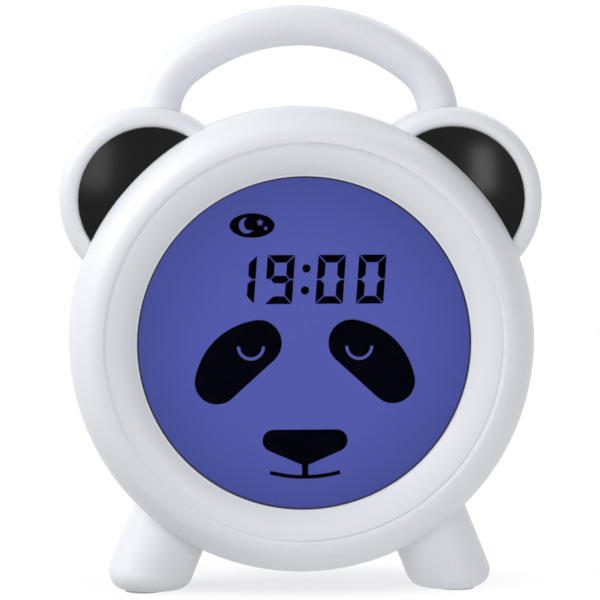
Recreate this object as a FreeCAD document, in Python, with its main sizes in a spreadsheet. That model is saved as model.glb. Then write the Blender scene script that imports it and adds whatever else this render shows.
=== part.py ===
import FreeCAD, Part
import math
import os
import re

import Sketcher

# A child's alarm clock with a night light: a round white body with two ears, a carrying
# handle and two splayed legs. The face looks along -Y, X runs to the right, Z is up, the
# table is z = 0 and the two half shells part at y = 0. All lengths are millimetres and all
# angles degrees. Inside each sub-part x and z are counted from the middle of the face.

SIZES = {
    # round body
    "body_radius": 69.1,
    "centre_height": 76.0,
    "front_depth": 28.0,
    "back_depth": 28.0,
    "shell_wall": 2.2,
    "fit_gap": 0.3,
    "close_gap": 0.15,
    # front ring
    "crown_radius": 59.6,
    "crown_round": 6.0,
    "roll_depth": 15.0,
    "opening_radius": 58.65,
    "collar_depth": 7.0,
    # back
    "seam_step": 0.5,
    "back_taper": 1.5,
    "back_round": 6.0,
    "tongue_height": 2.5,
    "tongue_wall": 1.5,
    "tongue_sweep": 200.0,
    # ears
    "ear_across": 44.6,
    "ear_rise": 41.8,
    "ear_radius": 27.1,
    "ear_front_depth": 14.0,
    "ear_lip": 1.5,
    "ear_depth": 11.0,
    "ear_round": 6.0,
    "insert_radius": 21.6,
    "insert_sink": 2.0,
    "insert_dome": 3.0,
    # handle
    "handle_span": 41.5,
    "handle_spring": 66.3,
    "handle_rise": 26.8,
    "handle_side_round": 19.0,
    "handle_bar_radius": 6.0,
    "handle_wall": 2.0,
    "handle_root": 3.5,
    "root_flange": 2.0,
    "root_flange_lap": 3.0,
    # legs
    "leg_spread": 47.0,
    "leg_tilt": 22.0,
    "leg_width": 24.0,
    "leg_depth": 30.0,
    "leg_wall": 2.4,
    "leg_reach": 36.0,
    "leg_flange_lap": 3.0,
    "sole_thickness": 3.5,
    "sole_round": 5.0,
    "pad_height": 1.2,
    "pad_proud": 0.5,
    "pad_width": 11.0,
    "pad_length": 19.0,
    # bezel, window and display
    "bezel_gap": 0.06,
    "bezel_sink": 0.35,
    "bezel_edge_round": 0.8,
    "bezel_roll": 11.5,
    "window_radius": 49.3,
    "bezel_lip": 1.0,
    "bezel_wall": 2.2,
    "flange_radius": 61.2,
    "flange_thickness": 1.8,
    "lens_radius": 52.4,
    "lens_thickness": 1.5,
    "glass_radius": 52.0,
    "glass_thickness": 1.3,
    "glass_chord": 45.8,
    "diffuser_thickness": 2.0,
    "pin_rows": 15,
    "pin_pitch": 2.0,
    "pin_width": 0.6,
    "pin_thickness": 0.3,
    "pin_drop": 47.5,
    # light box and main board
    "box_inner_radius": 50.7,
    "box_wall": 1.5,
    "box_depth": 10.2,
    "board_thickness": 1.6,
    "board_post_radius": 3.0,
    "board_post_circle": 49.0,
    "box_boss_radius": 2.2,
    "box_boss_circle": 63.6,
    "led_size": 5.0,
    "led_height": 1.6,
    "led_circle": 30.0,
    "led_count": 8,
    # screws
    "small_screw_radius": 1.1,
    "small_head_radius": 2.1,
    "small_head": 1.6,
    "small_screw_length": 5.8,
    "shell_screw_radius": 1.4,
    "shell_head_radius": 2.8,
    "shell_head": 2.2,
    "shell_screw_length": 10.2,
    "shell_seat": 4.0,
    "ear_screw_out": 9.0,
    "low_screw_across": 16.0,
    "low_screw_drop": 57.5,
    "front_boss_radius": 3.0,
    "low_boss_length": 16.0,
    "rib_thickness": 1.6,
    # push buttons
    "button_across": 43.0,
    "button_pitch": 20.0,
    "button_radius": 5.0,
    "button_flange": 1.6,
    "button_flange_height": 1.4,
    "button_proud": 1.2,
    "button_travel": 0.7,
    "stem_radius": 2.0,
    "recess_depth": 1.5,
    "recess_margin": 2.5,
    "switch_side": 6.0,
    "switch_height": 3.2,
    "plunger_radius": 1.7,
    "plunger_height": 1.5,
    "plunger_sunk": 0.8,
    "side_board_lift": 9.3,
    "side_board_width": 14.0,
    # battery bay and door
    "cell_radius": 7.1,
    "cell_length": 49.5,
    "nub_radius": 2.7,
    "nub_length": 1.0,
    "cell_pitch": 14.6,
    "cell_margin": 1.1,
    "bay_half_length": 27.5,
    "bay_top": 1.5,
    "bay_height": 45.5,
    "bay_floor": 10.0,
    "bay_wall": 1.8,
    "door_thickness": 2.0,
    "door_lap": 2.5,
    "door_corner": 3.0,
    "door_edge_gap": 0.2,
    "door_screw_drop": 52.0,
    "door_screw_radius": 1.45,
    "door_head_radius": 3.0,
    "door_head": 1.9,
    "door_screw_bite": 2.2,
    "door_boss_height": 2.0,
    "hook_across": 15.0,
    "hook_width": 8.0,
    "hook_thickness": 1.4,
    "hook_neck": 1.2,
    "hook_swing": 1.05,
    "hook_reach": 3.0,
    "hook_cover": 2.2,
    # speaker
    "speaker_rise": 33.0,
    "speaker_radius": 16.0,
    "speaker_rim": 1.0,
    "magnet_radius": 9.5,
    "magnet_height": 6.0,
    "basket_height": 8.0,
    "gasket_thickness": 0.8,
    "clamp_thickness": 1.6,
    "clamp_circle": 20.0,
    "grille_hole": 0.95,
    "grille_pitch": 4.1,
    # charging socket
    "socket_across": 38.0,
    "socket_drop": 40.0,
    "socket_width": 9.0,
    "socket_height": 3.2,
    "socket_wall": 0.4,
    "socket_sunk": 0.5,
}

# Places and sizes that follow from the ones above, each used by more than one piece.
WORKED_OUT = {
    "front_face": "-front_depth",
    "crown_span": "(body_radius - crown_radius)",
    "ring_side_round": "((crown_span^2 + roll_depth^2 - 2*roll_depth*crown_round)"
    " / (2*(crown_span - crown_round)))",
    "ring_side_y": "(roll_depth - front_depth)",
    "crown_centre_y": "(crown_round - front_depth)",
    "side_centre_r": "(body_radius - ring_side_round)",
    "meet_share": "(1/(ring_side_round - crown_round))",
    "meet_r": "((crown_radius - side_centre_r)*meet_share)",
    "meet_y": "((crown_centre_y - ring_side_y)*meet_share)",
    "front_inner": "(body_radius - shell_wall)",
    "back_outer": "(body_radius - seam_step)",
    "back_inner": "(back_outer - shell_wall)",
    "back_straight": "(back_depth - back_round)",
    "back_end": "(back_outer - back_taper)",
    "back_flat": "(back_end - back_round)",
    "back_wall": "(back_depth - shell_wall)",
    "collar_y": "(collar_depth - front_depth)",
    "collar_outer": "(opening_radius + shell_wall)",
    "crown_inner_round": "(crown_round - shell_wall)",
    "collar_root": "(crown_inner_round^2 - (collar_outer - crown_radius)^2)",
    "bezel_y": "(bezel_sink - front_depth)",
    "bezel_radius": "(opening_radius - bezel_gap)",
    "bezel_top_r": "(bezel_radius - bezel_edge_round)",
    "bezel_run": "(bezel_top_r - window_radius)",
    "bezel_end_y": "(bezel_y + bezel_roll - sqrt(bezel_roll^2 - bezel_run^2))",
    "lens_seat_y": "(bezel_end_y + bezel_lip)",
    "lens_y": "(lens_seat_y + close_gap)",
    "glass_y": "(lens_y + lens_thickness + close_gap)",
    "glass_end_y": "(glass_y + 2*glass_thickness)",
    "diffuser_y": "(glass_end_y + close_gap)",
    "box_ledge_y": "(diffuser_y + diffuser_thickness + close_gap)",
    "board_y": "(box_ledge_y + box_depth)",
    "board_back_y": "(board_y + board_thickness)",
    "bezel_flange_y": "(collar_y + close_gap)",
    "box_flange_y": "(bezel_flange_y + flange_thickness + close_gap)",
    "box_flange_end": "(box_flange_y + flange_thickness)",
    "box_pocket": "(glass_radius + fit_gap)",
    "box_outer": "(box_pocket + box_wall)",
    "ear_bore": "(ear_radius - shell_wall)",
    "ear_flat": "(ear_radius - ear_round)",
    "ear_side_y": "(ear_depth - ear_round)",
    "ear_front_round": "(ear_radius - insert_radius - ear_lip)",
    "ear_front_inner": "(insert_sink + shell_wall - 0.2 - ear_front_depth)",
    "ear_screw_x": "(ear_across + ear_screw_out)",
    "ear_screw_z": "(ear_rise + ear_screw_out - 1)",
    "handle_crown_round": "(((handle_span - handle_side_round)^2 + handle_rise^2"
    " - handle_side_round^2) / (2*(handle_rise - handle_side_round)))",
    "handle_side_x": "(handle_span - handle_side_round)",
    "handle_crown_z": "(handle_spring + handle_rise - handle_crown_round)",
    "handle_meet": "(handle_crown_round/(handle_crown_round - handle_side_round))",
    "handle_meet_x": "(handle_side_x*handle_meet)",
    "handle_meet_z": "(handle_crown_z + (handle_spring - handle_crown_z)*handle_meet)",
    "handle_end_z": "(handle_spring - handle_root)",
    "leg_below": "(leg_width/2*tan(leg_tilt) + 3)",
    "leg_start_x": "(leg_spread + leg_below*sin(leg_tilt))",
    "leg_start_z": "(-centre_height - leg_below*cos(leg_tilt))",
    "leg_length": "(leg_below + leg_reach)",
    "sole_z": "(pad_proud - centre_height)",
    "board_post_step": "(board_post_circle*sin(45))",
    "recess_floor": "(back_depth - recess_depth)",
    "recess_inner": "(recess_floor - shell_wall)",
    "recess_half": "(button_radius + recess_margin)",
    "button_hole": "(button_radius + 0.2)",
    "flange_top": "(recess_inner - close_gap)",
    "flange_end": "(flange_top - button_flange_height)",
    "side_board_y": "(back_wall - side_board_lift)",
    "side_board_front": "(side_board_y - board_thickness)",
    "switch_top": "(side_board_y + switch_height)",
    "plunger_top": "(switch_top + plunger_height)",
    "cell_y": "(bay_floor + cell_radius + close_gap)",
    "bay_low": "(bay_top + bay_height)",
    "door_y": "(back_depth - door_thickness)",
    "door_half": "(bay_half_length + door_lap)",
    "door_top": "(door_lap - bay_top)",
    "door_low": "(bay_low + door_lap)",
    "door_tongue": "(door_screw_drop + door_head_radius + 1.4)",
    "hook_top": "(door_y - hook_cover - hook_swing)",
    "door_boss_radius": "(door_head_radius + 1.6)",
    "seat_y": "(back_wall - gasket_thickness)",
    "rim_y": "(seat_y - speaker_rim)",
    "basket_end": "(rim_y - basket_height)",
    "clamp_y": "(rim_y - close_gap)",
    "post_across": "(clamp_circle*cos(30))",
    "post_drop": "(clamp_circle*sin(30))",
    "socket_mouth": "(back_depth - socket_sunk)",
    "battery_plate_x": "(bay_half_length - 0.4)",
}

doc = FreeCAD.newDocument("bedside_clock")
sheet = doc.addObject("Spreadsheet::Sheet", "sizes")
for row, (alias, value) in enumerate(SIZES.items(), start=1):
    sheet.set(f"A{row}", alias)
    sheet.set(f"B{row}", str(value))
    sheet.setAlias(f"B{row}", alias)
doc.recompute()


def bound(text):
    """The text as an expression on the sheet's cells, with the worked-out names opened up."""

    def open_up(match):
        word = match.group()
        if word in WORKED_OUT:
            return "(" + bound(WORKED_OUT[word]) + ")"
        return "sizes." + word if word in SIZES else word

    return re.sub(r"[a-z]+_[a-z_]+", open_up, text)


def number(text):
    return float(sheet.evalExpression(bound(text)))


def minus(text):
    return "-(" + text + ")"


def new_body(label, several=False):
    """A sub-part whose own origin is the middle of the clock's face."""
    body = doc.addObject("PartDesign::Body", label)
    body.Label = label
    body.AllowCompound = several
    body.setExpression("Placement.Base.z", bound("centre_height"))
    return body


def place_sketch(body, name, plane, across, up, out):
    sketch = body.newObject("Sketcher::SketchObject", body.Label + "_" + name)
    origin = next(f for f in body.Origin.OriginFeatures if f.Role == plane)
    sketch.AttachmentSupport = [(origin, "")]
    sketch.MapMode = "FlatFace"
    for axis, text in (("x", across), ("y", up), ("z", out)):
        if text != "0":
            sketch.setExpression("AttachmentOffset.Base." + axis, bound(text))
    return sketch


def face_sketch(body, name, depth="0", x="0", z="0"):
    """A sketch that looks at the face, at y = depth, counted from (x, z)."""
    return place_sketch(body, name, "XZ_Plane", x, z, minus(depth))


def turning_sketch(body, name, x="0", z="0"):
    """A half section for a turned form on the axis through (x, z) along Y."""
    return place_sketch(body, name, "XY_Plane", x, "0", z)


def leg_sketch(body, name, side, back_off="0"):
    """A sketch square to a leg's axis, below the sole; side is -1 for the left leg."""
    sketch = place_sketch(body, name, "XY_Plane", "0", "0", "0")
    tilt = -side * number("leg_tilt")
    turn = FreeCAD.Rotation(FreeCAD.Vector(0, 1, 0), tilt)
    sketch.AttachmentOffset = FreeCAD.Placement(FreeCAD.Vector(), turn)
    if side > 0:
        sketch.AttachmentOffset = FreeCAD.Placement(
            FreeCAD.Vector(), FreeCAD.Rotation(FreeCAD.Vector(0, -1, 0), -tilt)
        )
    start_x = f"leg_start_x - ({back_off})*sin(leg_tilt)"
    start_z = f"leg_start_z + ({back_off})*cos(leg_tilt)"
    sketch.setExpression("AttachmentOffset.Rotation.Angle", bound("leg_tilt"))
    sketch.setExpression(
        "AttachmentOffset.Base.x", bound(start_x if side > 0 else minus(start_x))
    )
    sketch.setExpression("AttachmentOffset.Base.z", bound(start_z))
    return sketch


def tie(sketch, ties):
    """Adds constraints, each (kind, geometry and point numbers, text), bound to the sheet."""
    made = []
    for kind, where, text in ties:
        made.append(Sketcher.Constraint(kind, *where, number(text)))
    first = sketch.ConstraintCount
    sketch.addConstraint(made)
    for step, (_, _, text) in enumerate(ties):
        if re.search("[a-z]", text):
            name = f"size_{first + step}"
            sketch.renameConstraint(first + step, name)
            sketch.setExpression("Constraints." + name, bound(text))


def draw(sketch, points):
    """A closed outline. A point is (x, y), or (x, y, radius) where a quarter arc or less
    arrives: its centre lies left of the way for a positive radius and right for a negative
    one, which is written with a leading minus sign."""
    spots = [FreeCAD.Vector(number(p[0]), number(p[1]), 0) for p in points]
    first = sketch.GeometryCount
    edges, ends, ties = [], [], []
    for i, here in enumerate(spots):
        there, target = spots[(i + 1) % len(spots)], points[(i + 1) % len(spots)]
        if len(target) == 2:
            edges.append(Part.LineSegment(here, there))
            ends.append((1, 2))
            continue
        turn = -1 if target[2].startswith("-") else 1
        radius = target[2].lstrip("-")
        size, chord = number(radius), there - here
        rise = math.sqrt(max(size**2 - chord.Length**2 / 4, 0))
        left = FreeCAD.Vector(-chord.y, chord.x, 0).normalize()
        centre = (here + there) * 0.5 + left * rise * turn
        start, stop = (here, there) if turn > 0 else (there, here)
        angles = [math.atan2(p.y - centre.y, p.x - centre.x) for p in (start, stop)]
        if angles[1] < angles[0]:
            angles[1] += 2 * math.pi
        circle = Part.Circle(centre, FreeCAD.Vector(0, 0, 1), size)
        edges.append(Part.ArcOfCircle(circle, *angles))
        ends.append((1, 2) if turn > 0 else (2, 1))
        ties.append(("Radius", (first + i,), radius))
    sketch.addGeometry(edges, False)
    joins = []
    for i in range(len(spots)):
        after = (i + 1) % len(spots)
        joins.append(
            Sketcher.Constraint(
                "Coincident", first + i, ends[i][1], first + after, ends[after][0]
            )
        )
        ties.append(("DistanceX", (-1, 1, first + i, ends[i][0]), points[i][0]))
        ties.append(("DistanceY", (-1, 1, first + i, ends[i][0]), points[i][1]))
    sketch.addConstraint(joins)
    tie(sketch, ties)


def draw_circle(sketch, radius, x="0", y="0"):
    middle = FreeCAD.Vector(number(x), number(y), 0)
    circle = Part.Circle(middle, FreeCAD.Vector(0, 0, 1), number(radius))
    spot = sketch.addGeometry(circle, False)
    tie(
        sketch,
        [
            ("Radius", (spot,), radius),
            ("DistanceX", (-1, 1, spot, 3), x),
            ("DistanceY", (-1, 1, spot, 3), y),
        ],
    )


def box_points(left, right, low, high):
    return [(left, low), (right, low), (right, high), (left, high)]


def rounded_points(left, right, low, high, radius):
    return [
        (f"{left} + {radius}", low),
        (f"{right} - {radius}", low),
        (right, f"{low} + {radius}", radius),
        (right, f"{high} - {radius}"),
        (f"{right} - {radius}", high, radius),
        (f"{left} + {radius}", high),
        (left, f"{high} - {radius}", radius),
        (left, f"{low} + {radius}"),
    ]


def slot_points(half_width, half_length):
    """A slot with round ends, longer along y than x."""
    straight = f"({half_length} - {half_width})"
    return [
        (minus(half_width), minus(straight)),
        ("0", minus(half_length), half_width),
        (half_width, minus(straight), half_width),
        (half_width, straight),
        ("0", half_length, half_width),
        (minus(half_width), straight, half_width),
    ]


def feature(body, kind, name, sketch, length=None, backwards=False):
    """A pad or pocket of that length, or a turned form or groove about the sketch's V axis."""
    made = body.newObject("PartDesign::" + kind, body.Label + "_" + name)
    made.Profile = sketch
    if length is None:
        made.ReferenceAxis = (sketch, ["V_Axis"])
        made.Angle = 360
    else:
        made.Length = number(length)
        made.setExpression("Length", bound(length))
    made.Reversed = backwards
    sketch.Visibility = False
    return made


def drawn(sketch, shapes):
    for shape in shapes:
        if isinstance(shape, tuple):
            draw_circle(sketch, *shape)
        else:
            draw(sketch, shape)


def plate(body, name, start, end, *shapes, cut=False, x="0", z="0"):
    """Material, or a cut, from y = start to y = end. A shape is a closed outline, or a
    circle as (radius, x, z)."""
    sketch = face_sketch(body, name + "_sketch", start, x, z)
    drawn(sketch, shapes)
    length = f"({end}) - ({start})"
    return feature(body, "Pocket" if cut else "Pad", name, sketch, length, not cut)


def turned(body, name, points, cut=False, x="0", z="0"):
    sketch = turning_sketch(body, name + "_sketch", x, z)
    draw(sketch, points)
    return feature(body, "Groove" if cut else "Revolution", name, sketch)


def screw(body, name, head_y, way, shank, length, head, height, x, z):
    """A pan-head screw along Y; way is 1 when its tip points to the back and -1 to the
    front. head_y is the plane under the head."""
    tip = f"({head_y} + {way}*({length}))"
    top = f"({head_y} - {way}*({height}))"
    dome = f"({head_y} - {way}*({height})*0.55)"
    turned(
        body,
        name,
        [
            ("0", tip),
            (f"({shank})*0.35", tip),
            (shank, f"{tip} - {way}*({shank})"),
            (shank, head_y),
            (head, head_y),
            (head, dome),
            (f"({head})*0.7", top),
            ("0", top),
        ],
        x=x,
        z=z,
    )
    cross = f"({head})*0.12"
    arm = f"({head})*0.55"
    floor = f"({head_y} - {way}*({height})*0.45)"
    start, end = (floor, top) if way < 0 else (top, floor)
    plate(
        body,
        name + "_cross",
        start,
        end,
        [
            (minus(arm), minus(cross)),
            (minus(cross), minus(cross)),
            (minus(cross), minus(arm)),
            (cross, minus(arm)),
            (cross, minus(cross)),
            (arm, minus(cross)),
            (arm, cross),
            (cross, cross),
            (cross, arm),
            (minus(cross), arm),
            (minus(cross), cross),
            (minus(arm), cross),
        ],
        cut=True,
        x=x,
        z=z,
    )


def both_sides(text):
    """A distance on the left and on the right of the middle."""
    return ((minus(text), "left"), (text, "right"))


def leg_hole(body, name, side):
    """The way through the shell for a leg, from just above the sole upwards."""
    sketch = leg_sketch(body, name + "_sketch", side, "leg_below")
    draw(sketch, slot_points("(leg_width/2 + fit_gap)", "(leg_depth/2 + fit_gap)"))
    feature(body, "Pocket", name, sketch, "leg_reach", True)


def root_hole(body, name, x):
    """The way through an ear's rim for the foot of the handle."""
    sketch = place_sketch(
        body, name + "_sketch", "XY_Plane", x, "0", "handle_end_z - root_flange"
    )
    draw_circle(sketch, "handle_bar_radius + close_gap")
    length = "root_flange + handle_root + body_radius/10"
    feature(body, "Pocket", name, sketch, length, True)


def make_front_shell():
    """The ring, the front halves of the ears and the collar that the bezel drops into."""
    body = new_body("front_shell", several=True)
    ear = [
        ("0", minus("ear_front_depth - insert_sink")),
        ("insert_radius", minus("ear_front_depth - insert_sink")),
        ("insert_radius", minus("ear_front_depth - ear_lip")),
        ("insert_radius + ear_lip", minus("ear_front_depth"), "ear_lip"),
        ("ear_radius", minus("ear_front_depth - ear_front_round"), "ear_front_round"),
        ("ear_radius", "0"),
        ("0", "0"),
    ]
    for x, side in both_sides("ear_across"):
        turned(body, "ear_" + side, ear, x=x, z="ear_rise")
    turned(
        body,
        "ring",
        [
            ("0", "0"),
            ("0", "collar_y"),
            ("opening_radius", "collar_y"),
            ("opening_radius", "front_face + crown_radius - opening_radius"),
            ("crown_radius", "front_face", "crown_radius - opening_radius"),
            (
                "crown_radius + crown_round*meet_r",
                "crown_centre_y + crown_round*meet_y",
                "crown_round",
            ),
            ("body_radius", "ring_side_y", "ring_side_round"),
            ("body_radius", "0"),
        ],
    )
    turned(
        body,
        "hollow",
        [
            ("0", "0"),
            ("0", "collar_y"),
            ("collar_outer", "collar_y"),
            ("collar_outer", "crown_centre_y - sqrt(collar_root)"),
            (
                "crown_radius + crown_inner_round*meet_r",
                "crown_centre_y + crown_inner_round*meet_y",
                "crown_inner_round",
            ),
            ("front_inner", "ring_side_y", "ring_side_round - shell_wall"),
            ("front_inner", "0"),
        ],
        cut=True,
    )
    for x, side in both_sides("ear_across"):
        turned(
            body,
            "ear_hollow_" + side,
            [
                ("0", "0"),
                ("0", "ear_front_inner"),
                ("ear_bore - 1.4", "ear_front_inner"),
                ("ear_bore", "ear_front_inner + 1.4"),
                ("ear_bore", "0"),
            ],
            cut=True,
            x=x,
            z="ear_rise",
        )
    ring_posts = [("box_boss_radius", "box_boss_circle", "0")]
    ring_posts.append(("box_boss_radius", minus("box_boss_circle"), "0"))
    ring_posts.append(("box_boss_radius", "0", "box_boss_circle"))
    ring_posts.append(("box_boss_radius", "0", minus("box_boss_circle")))
    pilots = [("small_screw_radius + 0.05",) + post[1:] for post in ring_posts]
    post_start = "box_flange_y - close_gap - collar_depth + shell_wall"
    plate(body, "box_posts", post_start, "box_flange_y - close_gap", *ring_posts)
    plate(
        body,
        "box_pilots",
        "box_flange_end - small_screw_length - 0.4",
        "box_flange_y",
        *pilots,
        cut=True,
    )
    for x, side in both_sides("ear_screw_x"):
        plate(
            body,
            "ear_post_" + side,
            "ear_front_inner - 0.5",
            "-close_gap",
            ("front_boss_radius", x, "ear_screw_z"),
        )
    for x, side in both_sides("low_screw_across"):
        plate(
            body,
            "low_post_" + side,
            "-low_boss_length",
            "-close_gap",
            ("front_boss_radius", x, minus("low_screw_drop")),
        )
        plate(
            body,
            "low_rib_" + side,
            "-low_boss_length",
            "-close_gap",
            box_points(
                f"{x} - rib_thickness/2",
                f"{x} + rib_thickness/2",
                minus("sqrt((front_inner + 0.5)^2 - low_screw_across^2)"),
                minus("low_screw_drop + 1"),
            ),
        )
    holes = [
        ("shell_screw_radius + 0.05", x, z)
        for x, z in (
            (minus("ear_screw_x"), "ear_screw_z"),
            ("ear_screw_x", "ear_screw_z"),
            (minus("low_screw_across"), minus("low_screw_drop")),
            ("low_screw_across", minus("low_screw_drop")),
        )
    ]
    hole_end = "shell_seat - shell_screw_length - close_gap"
    plate(body, "shell_pilots", hole_end, "1", *holes, cut=True)
    for x, side in both_sides("handle_span"):
        root_hole(body, "root_" + side, x)
    for side in (-1, 1):
        leg_hole(body, "leg_hole_left" if side < 0 else "leg_hole_right", side)
    return body


def make_rear_shell():
    """The back: battery bay, speaker seat and grille, button channels, screw wells."""
    body = new_body("rear_shell")
    turned(
        body,
        "drum",
        [
            ("0", "0"),
            ("back_outer", "0"),
            ("back_end", "back_straight"),
            ("back_flat", "back_depth", "back_round"),
            ("0", "back_depth"),
        ],
    )
    for x, side in both_sides("ear_across"):
        turned(
            body,
            "ear_" + side,
            [
                ("0", "0"),
                ("ear_radius", "0"),
                ("ear_radius", "ear_side_y"),
                ("ear_flat", "ear_depth", "ear_round"),
                ("0", "ear_depth"),
            ],
            x=x,
            z="ear_rise",
        )
    turned(
        body,
        "hollow",
        [
            ("0", "0"),
            ("back_inner", "0"),
            ("back_end - shell_wall", "back_straight"),
            ("back_flat", "back_wall", "back_round - shell_wall"),
            ("0", "back_wall"),
        ],
        cut=True,
    )
    for x, side in both_sides("ear_across"):
        turned(
            body,
            "ear_hollow_" + side,
            [
                ("0", "0"),
                ("ear_bore", "0"),
                ("ear_bore", "ear_side_y"),
                ("ear_flat", "ear_depth - shell_wall", "ear_round - shell_wall"),
                ("0", "ear_depth - shell_wall"),
            ],
            cut=True,
            x=x,
            z="ear_rise",
        )
    rim = place_sketch(body, "tongue_sketch", "YZ_Plane", "0", "0", "0")
    draw(
        rim,
        box_points(
            "-tongue_height",
            "tongue_height",
            "front_inner - fit_gap - tongue_wall",
            "front_inner - fit_gap",
        ),
    )
    tongue = body.newObject("PartDesign::Revolution", "rear_shell_tongue")
    tongue.Profile = rim
    tongue.ReferenceAxis = (rim, ["H_Axis"])
    tongue.Midplane = True
    tongue.setExpression("Angle", bound("tongue_sweep"))
    make_screw_wells(body)
    make_bay(body)
    make_speaker_seat(body)
    make_button_channels(body)
    for x, side in both_sides("handle_span"):
        root_hole(body, "root_" + side, x)
    for side in (-1, 1):
        leg_hole(body, "leg_hole_left" if side < 0 else "leg_hole_right", side)
    return body


def make_screw_wells(body):
    tube = "shell_head_radius + fit_gap + 1.5"
    places = []
    for x, side in both_sides("ear_screw_x"):
        places.append((x, "ear_screw_z"))
        plate(
            body,
            "ear_tube_" + side,
            "close_gap",
            "ear_depth - shell_wall/2",
            (tube, x, "ear_screw_z"),
        )
    for x, side in both_sides("low_screw_across"):
        places.append((x, minus("low_screw_drop")))
        plate(
            body,
            "low_tube_" + side,
            "close_gap",
            "back_depth - shell_wall/2",
            (tube, x, minus("low_screw_drop")),
        )
    wells = [("shell_head_radius + fit_gap", x, z) for x, z in places]
    holes = [("shell_screw_radius + close_gap", x, z) for x, z in places]
    plate(body, "wells", "shell_seat", "back_depth + 1", *wells, cut=True)
    plate(body, "screw_holes", "-1", "shell_seat + 1", *holes, cut=True)


def make_bay(body):
    wall = "bay_wall"
    rebate = "door_half + door_edge_gap"
    plate(
        body,
        "bay_frame",
        "door_y - hook_cover",
        "back_wall + 0.5",
        box_points(
            f"-({rebate} + 1.5)",
            f"{rebate} + 1.5",
            "-(door_low + door_edge_gap + 1.5)",
            "door_top + door_edge_gap + 1.5",
        ),
    )
    plate(
        body,
        "door_post",
        "door_y - door_boss_height - fit_gap - door_screw_bite - 2",
        "back_wall + 0.5",
        ("door_boss_radius + fit_gap + 1.5", "0", "-door_screw_drop"),
    )
    plate(
        body,
        "bay_block",
        "bay_floor - bay_wall",
        "back_wall + 0.5",
        box_points(
            f"-(bay_half_length + {wall})",
            f"bay_half_length + {wall}",
            f"-(bay_low + {wall})",
            f"{wall} - bay_top",
        ),
    )
    plate(
        body,
        "bay",
        "bay_floor",
        "back_depth + 1",
        box_points("-bay_half_length", "bay_half_length", "-bay_low", "-bay_top"),
        cut=True,
    )
    plate(
        body,
        "rebate",
        "door_y",
        "back_depth + 1",
        rounded_points(
            f"-({rebate})",
            f"({rebate})",
            "-(door_low + door_edge_gap)",
            "(door_top + door_edge_gap)",
            "(door_corner + door_edge_gap)",
        ),
        cut=True,
    )
    plate(
        body,
        "tongue_rebate",
        "door_y",
        "back_depth + 1",
        [
            ("-(door_boss_radius + door_edge_gap)", "-door_screw_drop"),
            (
                "0",
                "-(door_screw_drop + door_boss_radius + door_edge_gap)",
                "(door_boss_radius + door_edge_gap)",
            ),
            (
                "door_boss_radius + door_edge_gap",
                "-door_screw_drop",
                "(door_boss_radius + door_edge_gap)",
            ),
            ("door_boss_radius + door_edge_gap", "-(door_low - 1)"),
            ("-(door_boss_radius + door_edge_gap)", "-(door_low - 1)"),
        ],
        cut=True,
    )
    plate(
        body,
        "door_boss_seat",
        "door_y - door_boss_height - fit_gap",
        "door_y + 0.5",
        ("door_boss_radius + fit_gap", "0", "-door_screw_drop"),
        cut=True,
    )
    plate(
        body,
        "door_screw_hole",
        "door_y - door_boss_height - fit_gap - door_screw_bite - 0.6",
        "door_y",
        ("door_screw_radius + fit_gap", "0", "-door_screw_drop"),
        cut=True,
    )
    for x, side in both_sides("hook_across"):
        plate(
            body,
            "hook_slot_" + side,
            "hook_top - hook_thickness - 1.4",
            "door_y - hook_cover",
            box_points(
                f"{x} - hook_width/2 - fit_gap",
                f"{x} + hook_width/2 + fit_gap",
                "-(bay_top + 1)",
                "door_top + hook_reach + 2",
            ),
            cut=True,
        )


def make_speaker_seat(body):
    plate(
        body,
        "speaker_wall",
        "rim_y",
        "back_wall + 0.5",
        ("speaker_radius + fit_gap + 1.4", "0", "speaker_rise"),
        ("speaker_radius + fit_gap", "0", "speaker_rise"),
    )
    posts = [
        ("2.6", "0", "speaker_rise + clamp_circle"),
        ("2.6", "post_across", "speaker_rise - post_drop"),
        ("2.6", minus("post_across"), "speaker_rise - post_drop"),
    ]
    plate(body, "speaker_posts", "clamp_y", "back_wall + 0.5", posts[0])
    plate(body, "speaker_posts_low", "clamp_y", "back_wall + 0.5", *posts[1:])
    pilots = [("small_screw_radius + 0.05",) + post[1:] for post in posts]
    plate(body, "speaker_pilots", "clamp_y - 1", "back_wall + 0.8", *pilots, cut=True)
    for ring, count in ((0, 1), (1, 6), (2, 12), (3, 18)):
        sketch = face_sketch(
            body, f"grille_{ring}_sketch", "back_wall - 0.5", "0", "speaker_rise"
        )
        for step in range(count):
            angle = 360 * step / count
            draw_circle(
                sketch,
                "grille_hole",
                f"{ring}*grille_pitch*cos({angle})",
                f"{ring}*grille_pitch*sin({angle})",
            )
        feature(body, "Pocket", f"grille_{ring}", sketch, "shell_wall + 1")


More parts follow.
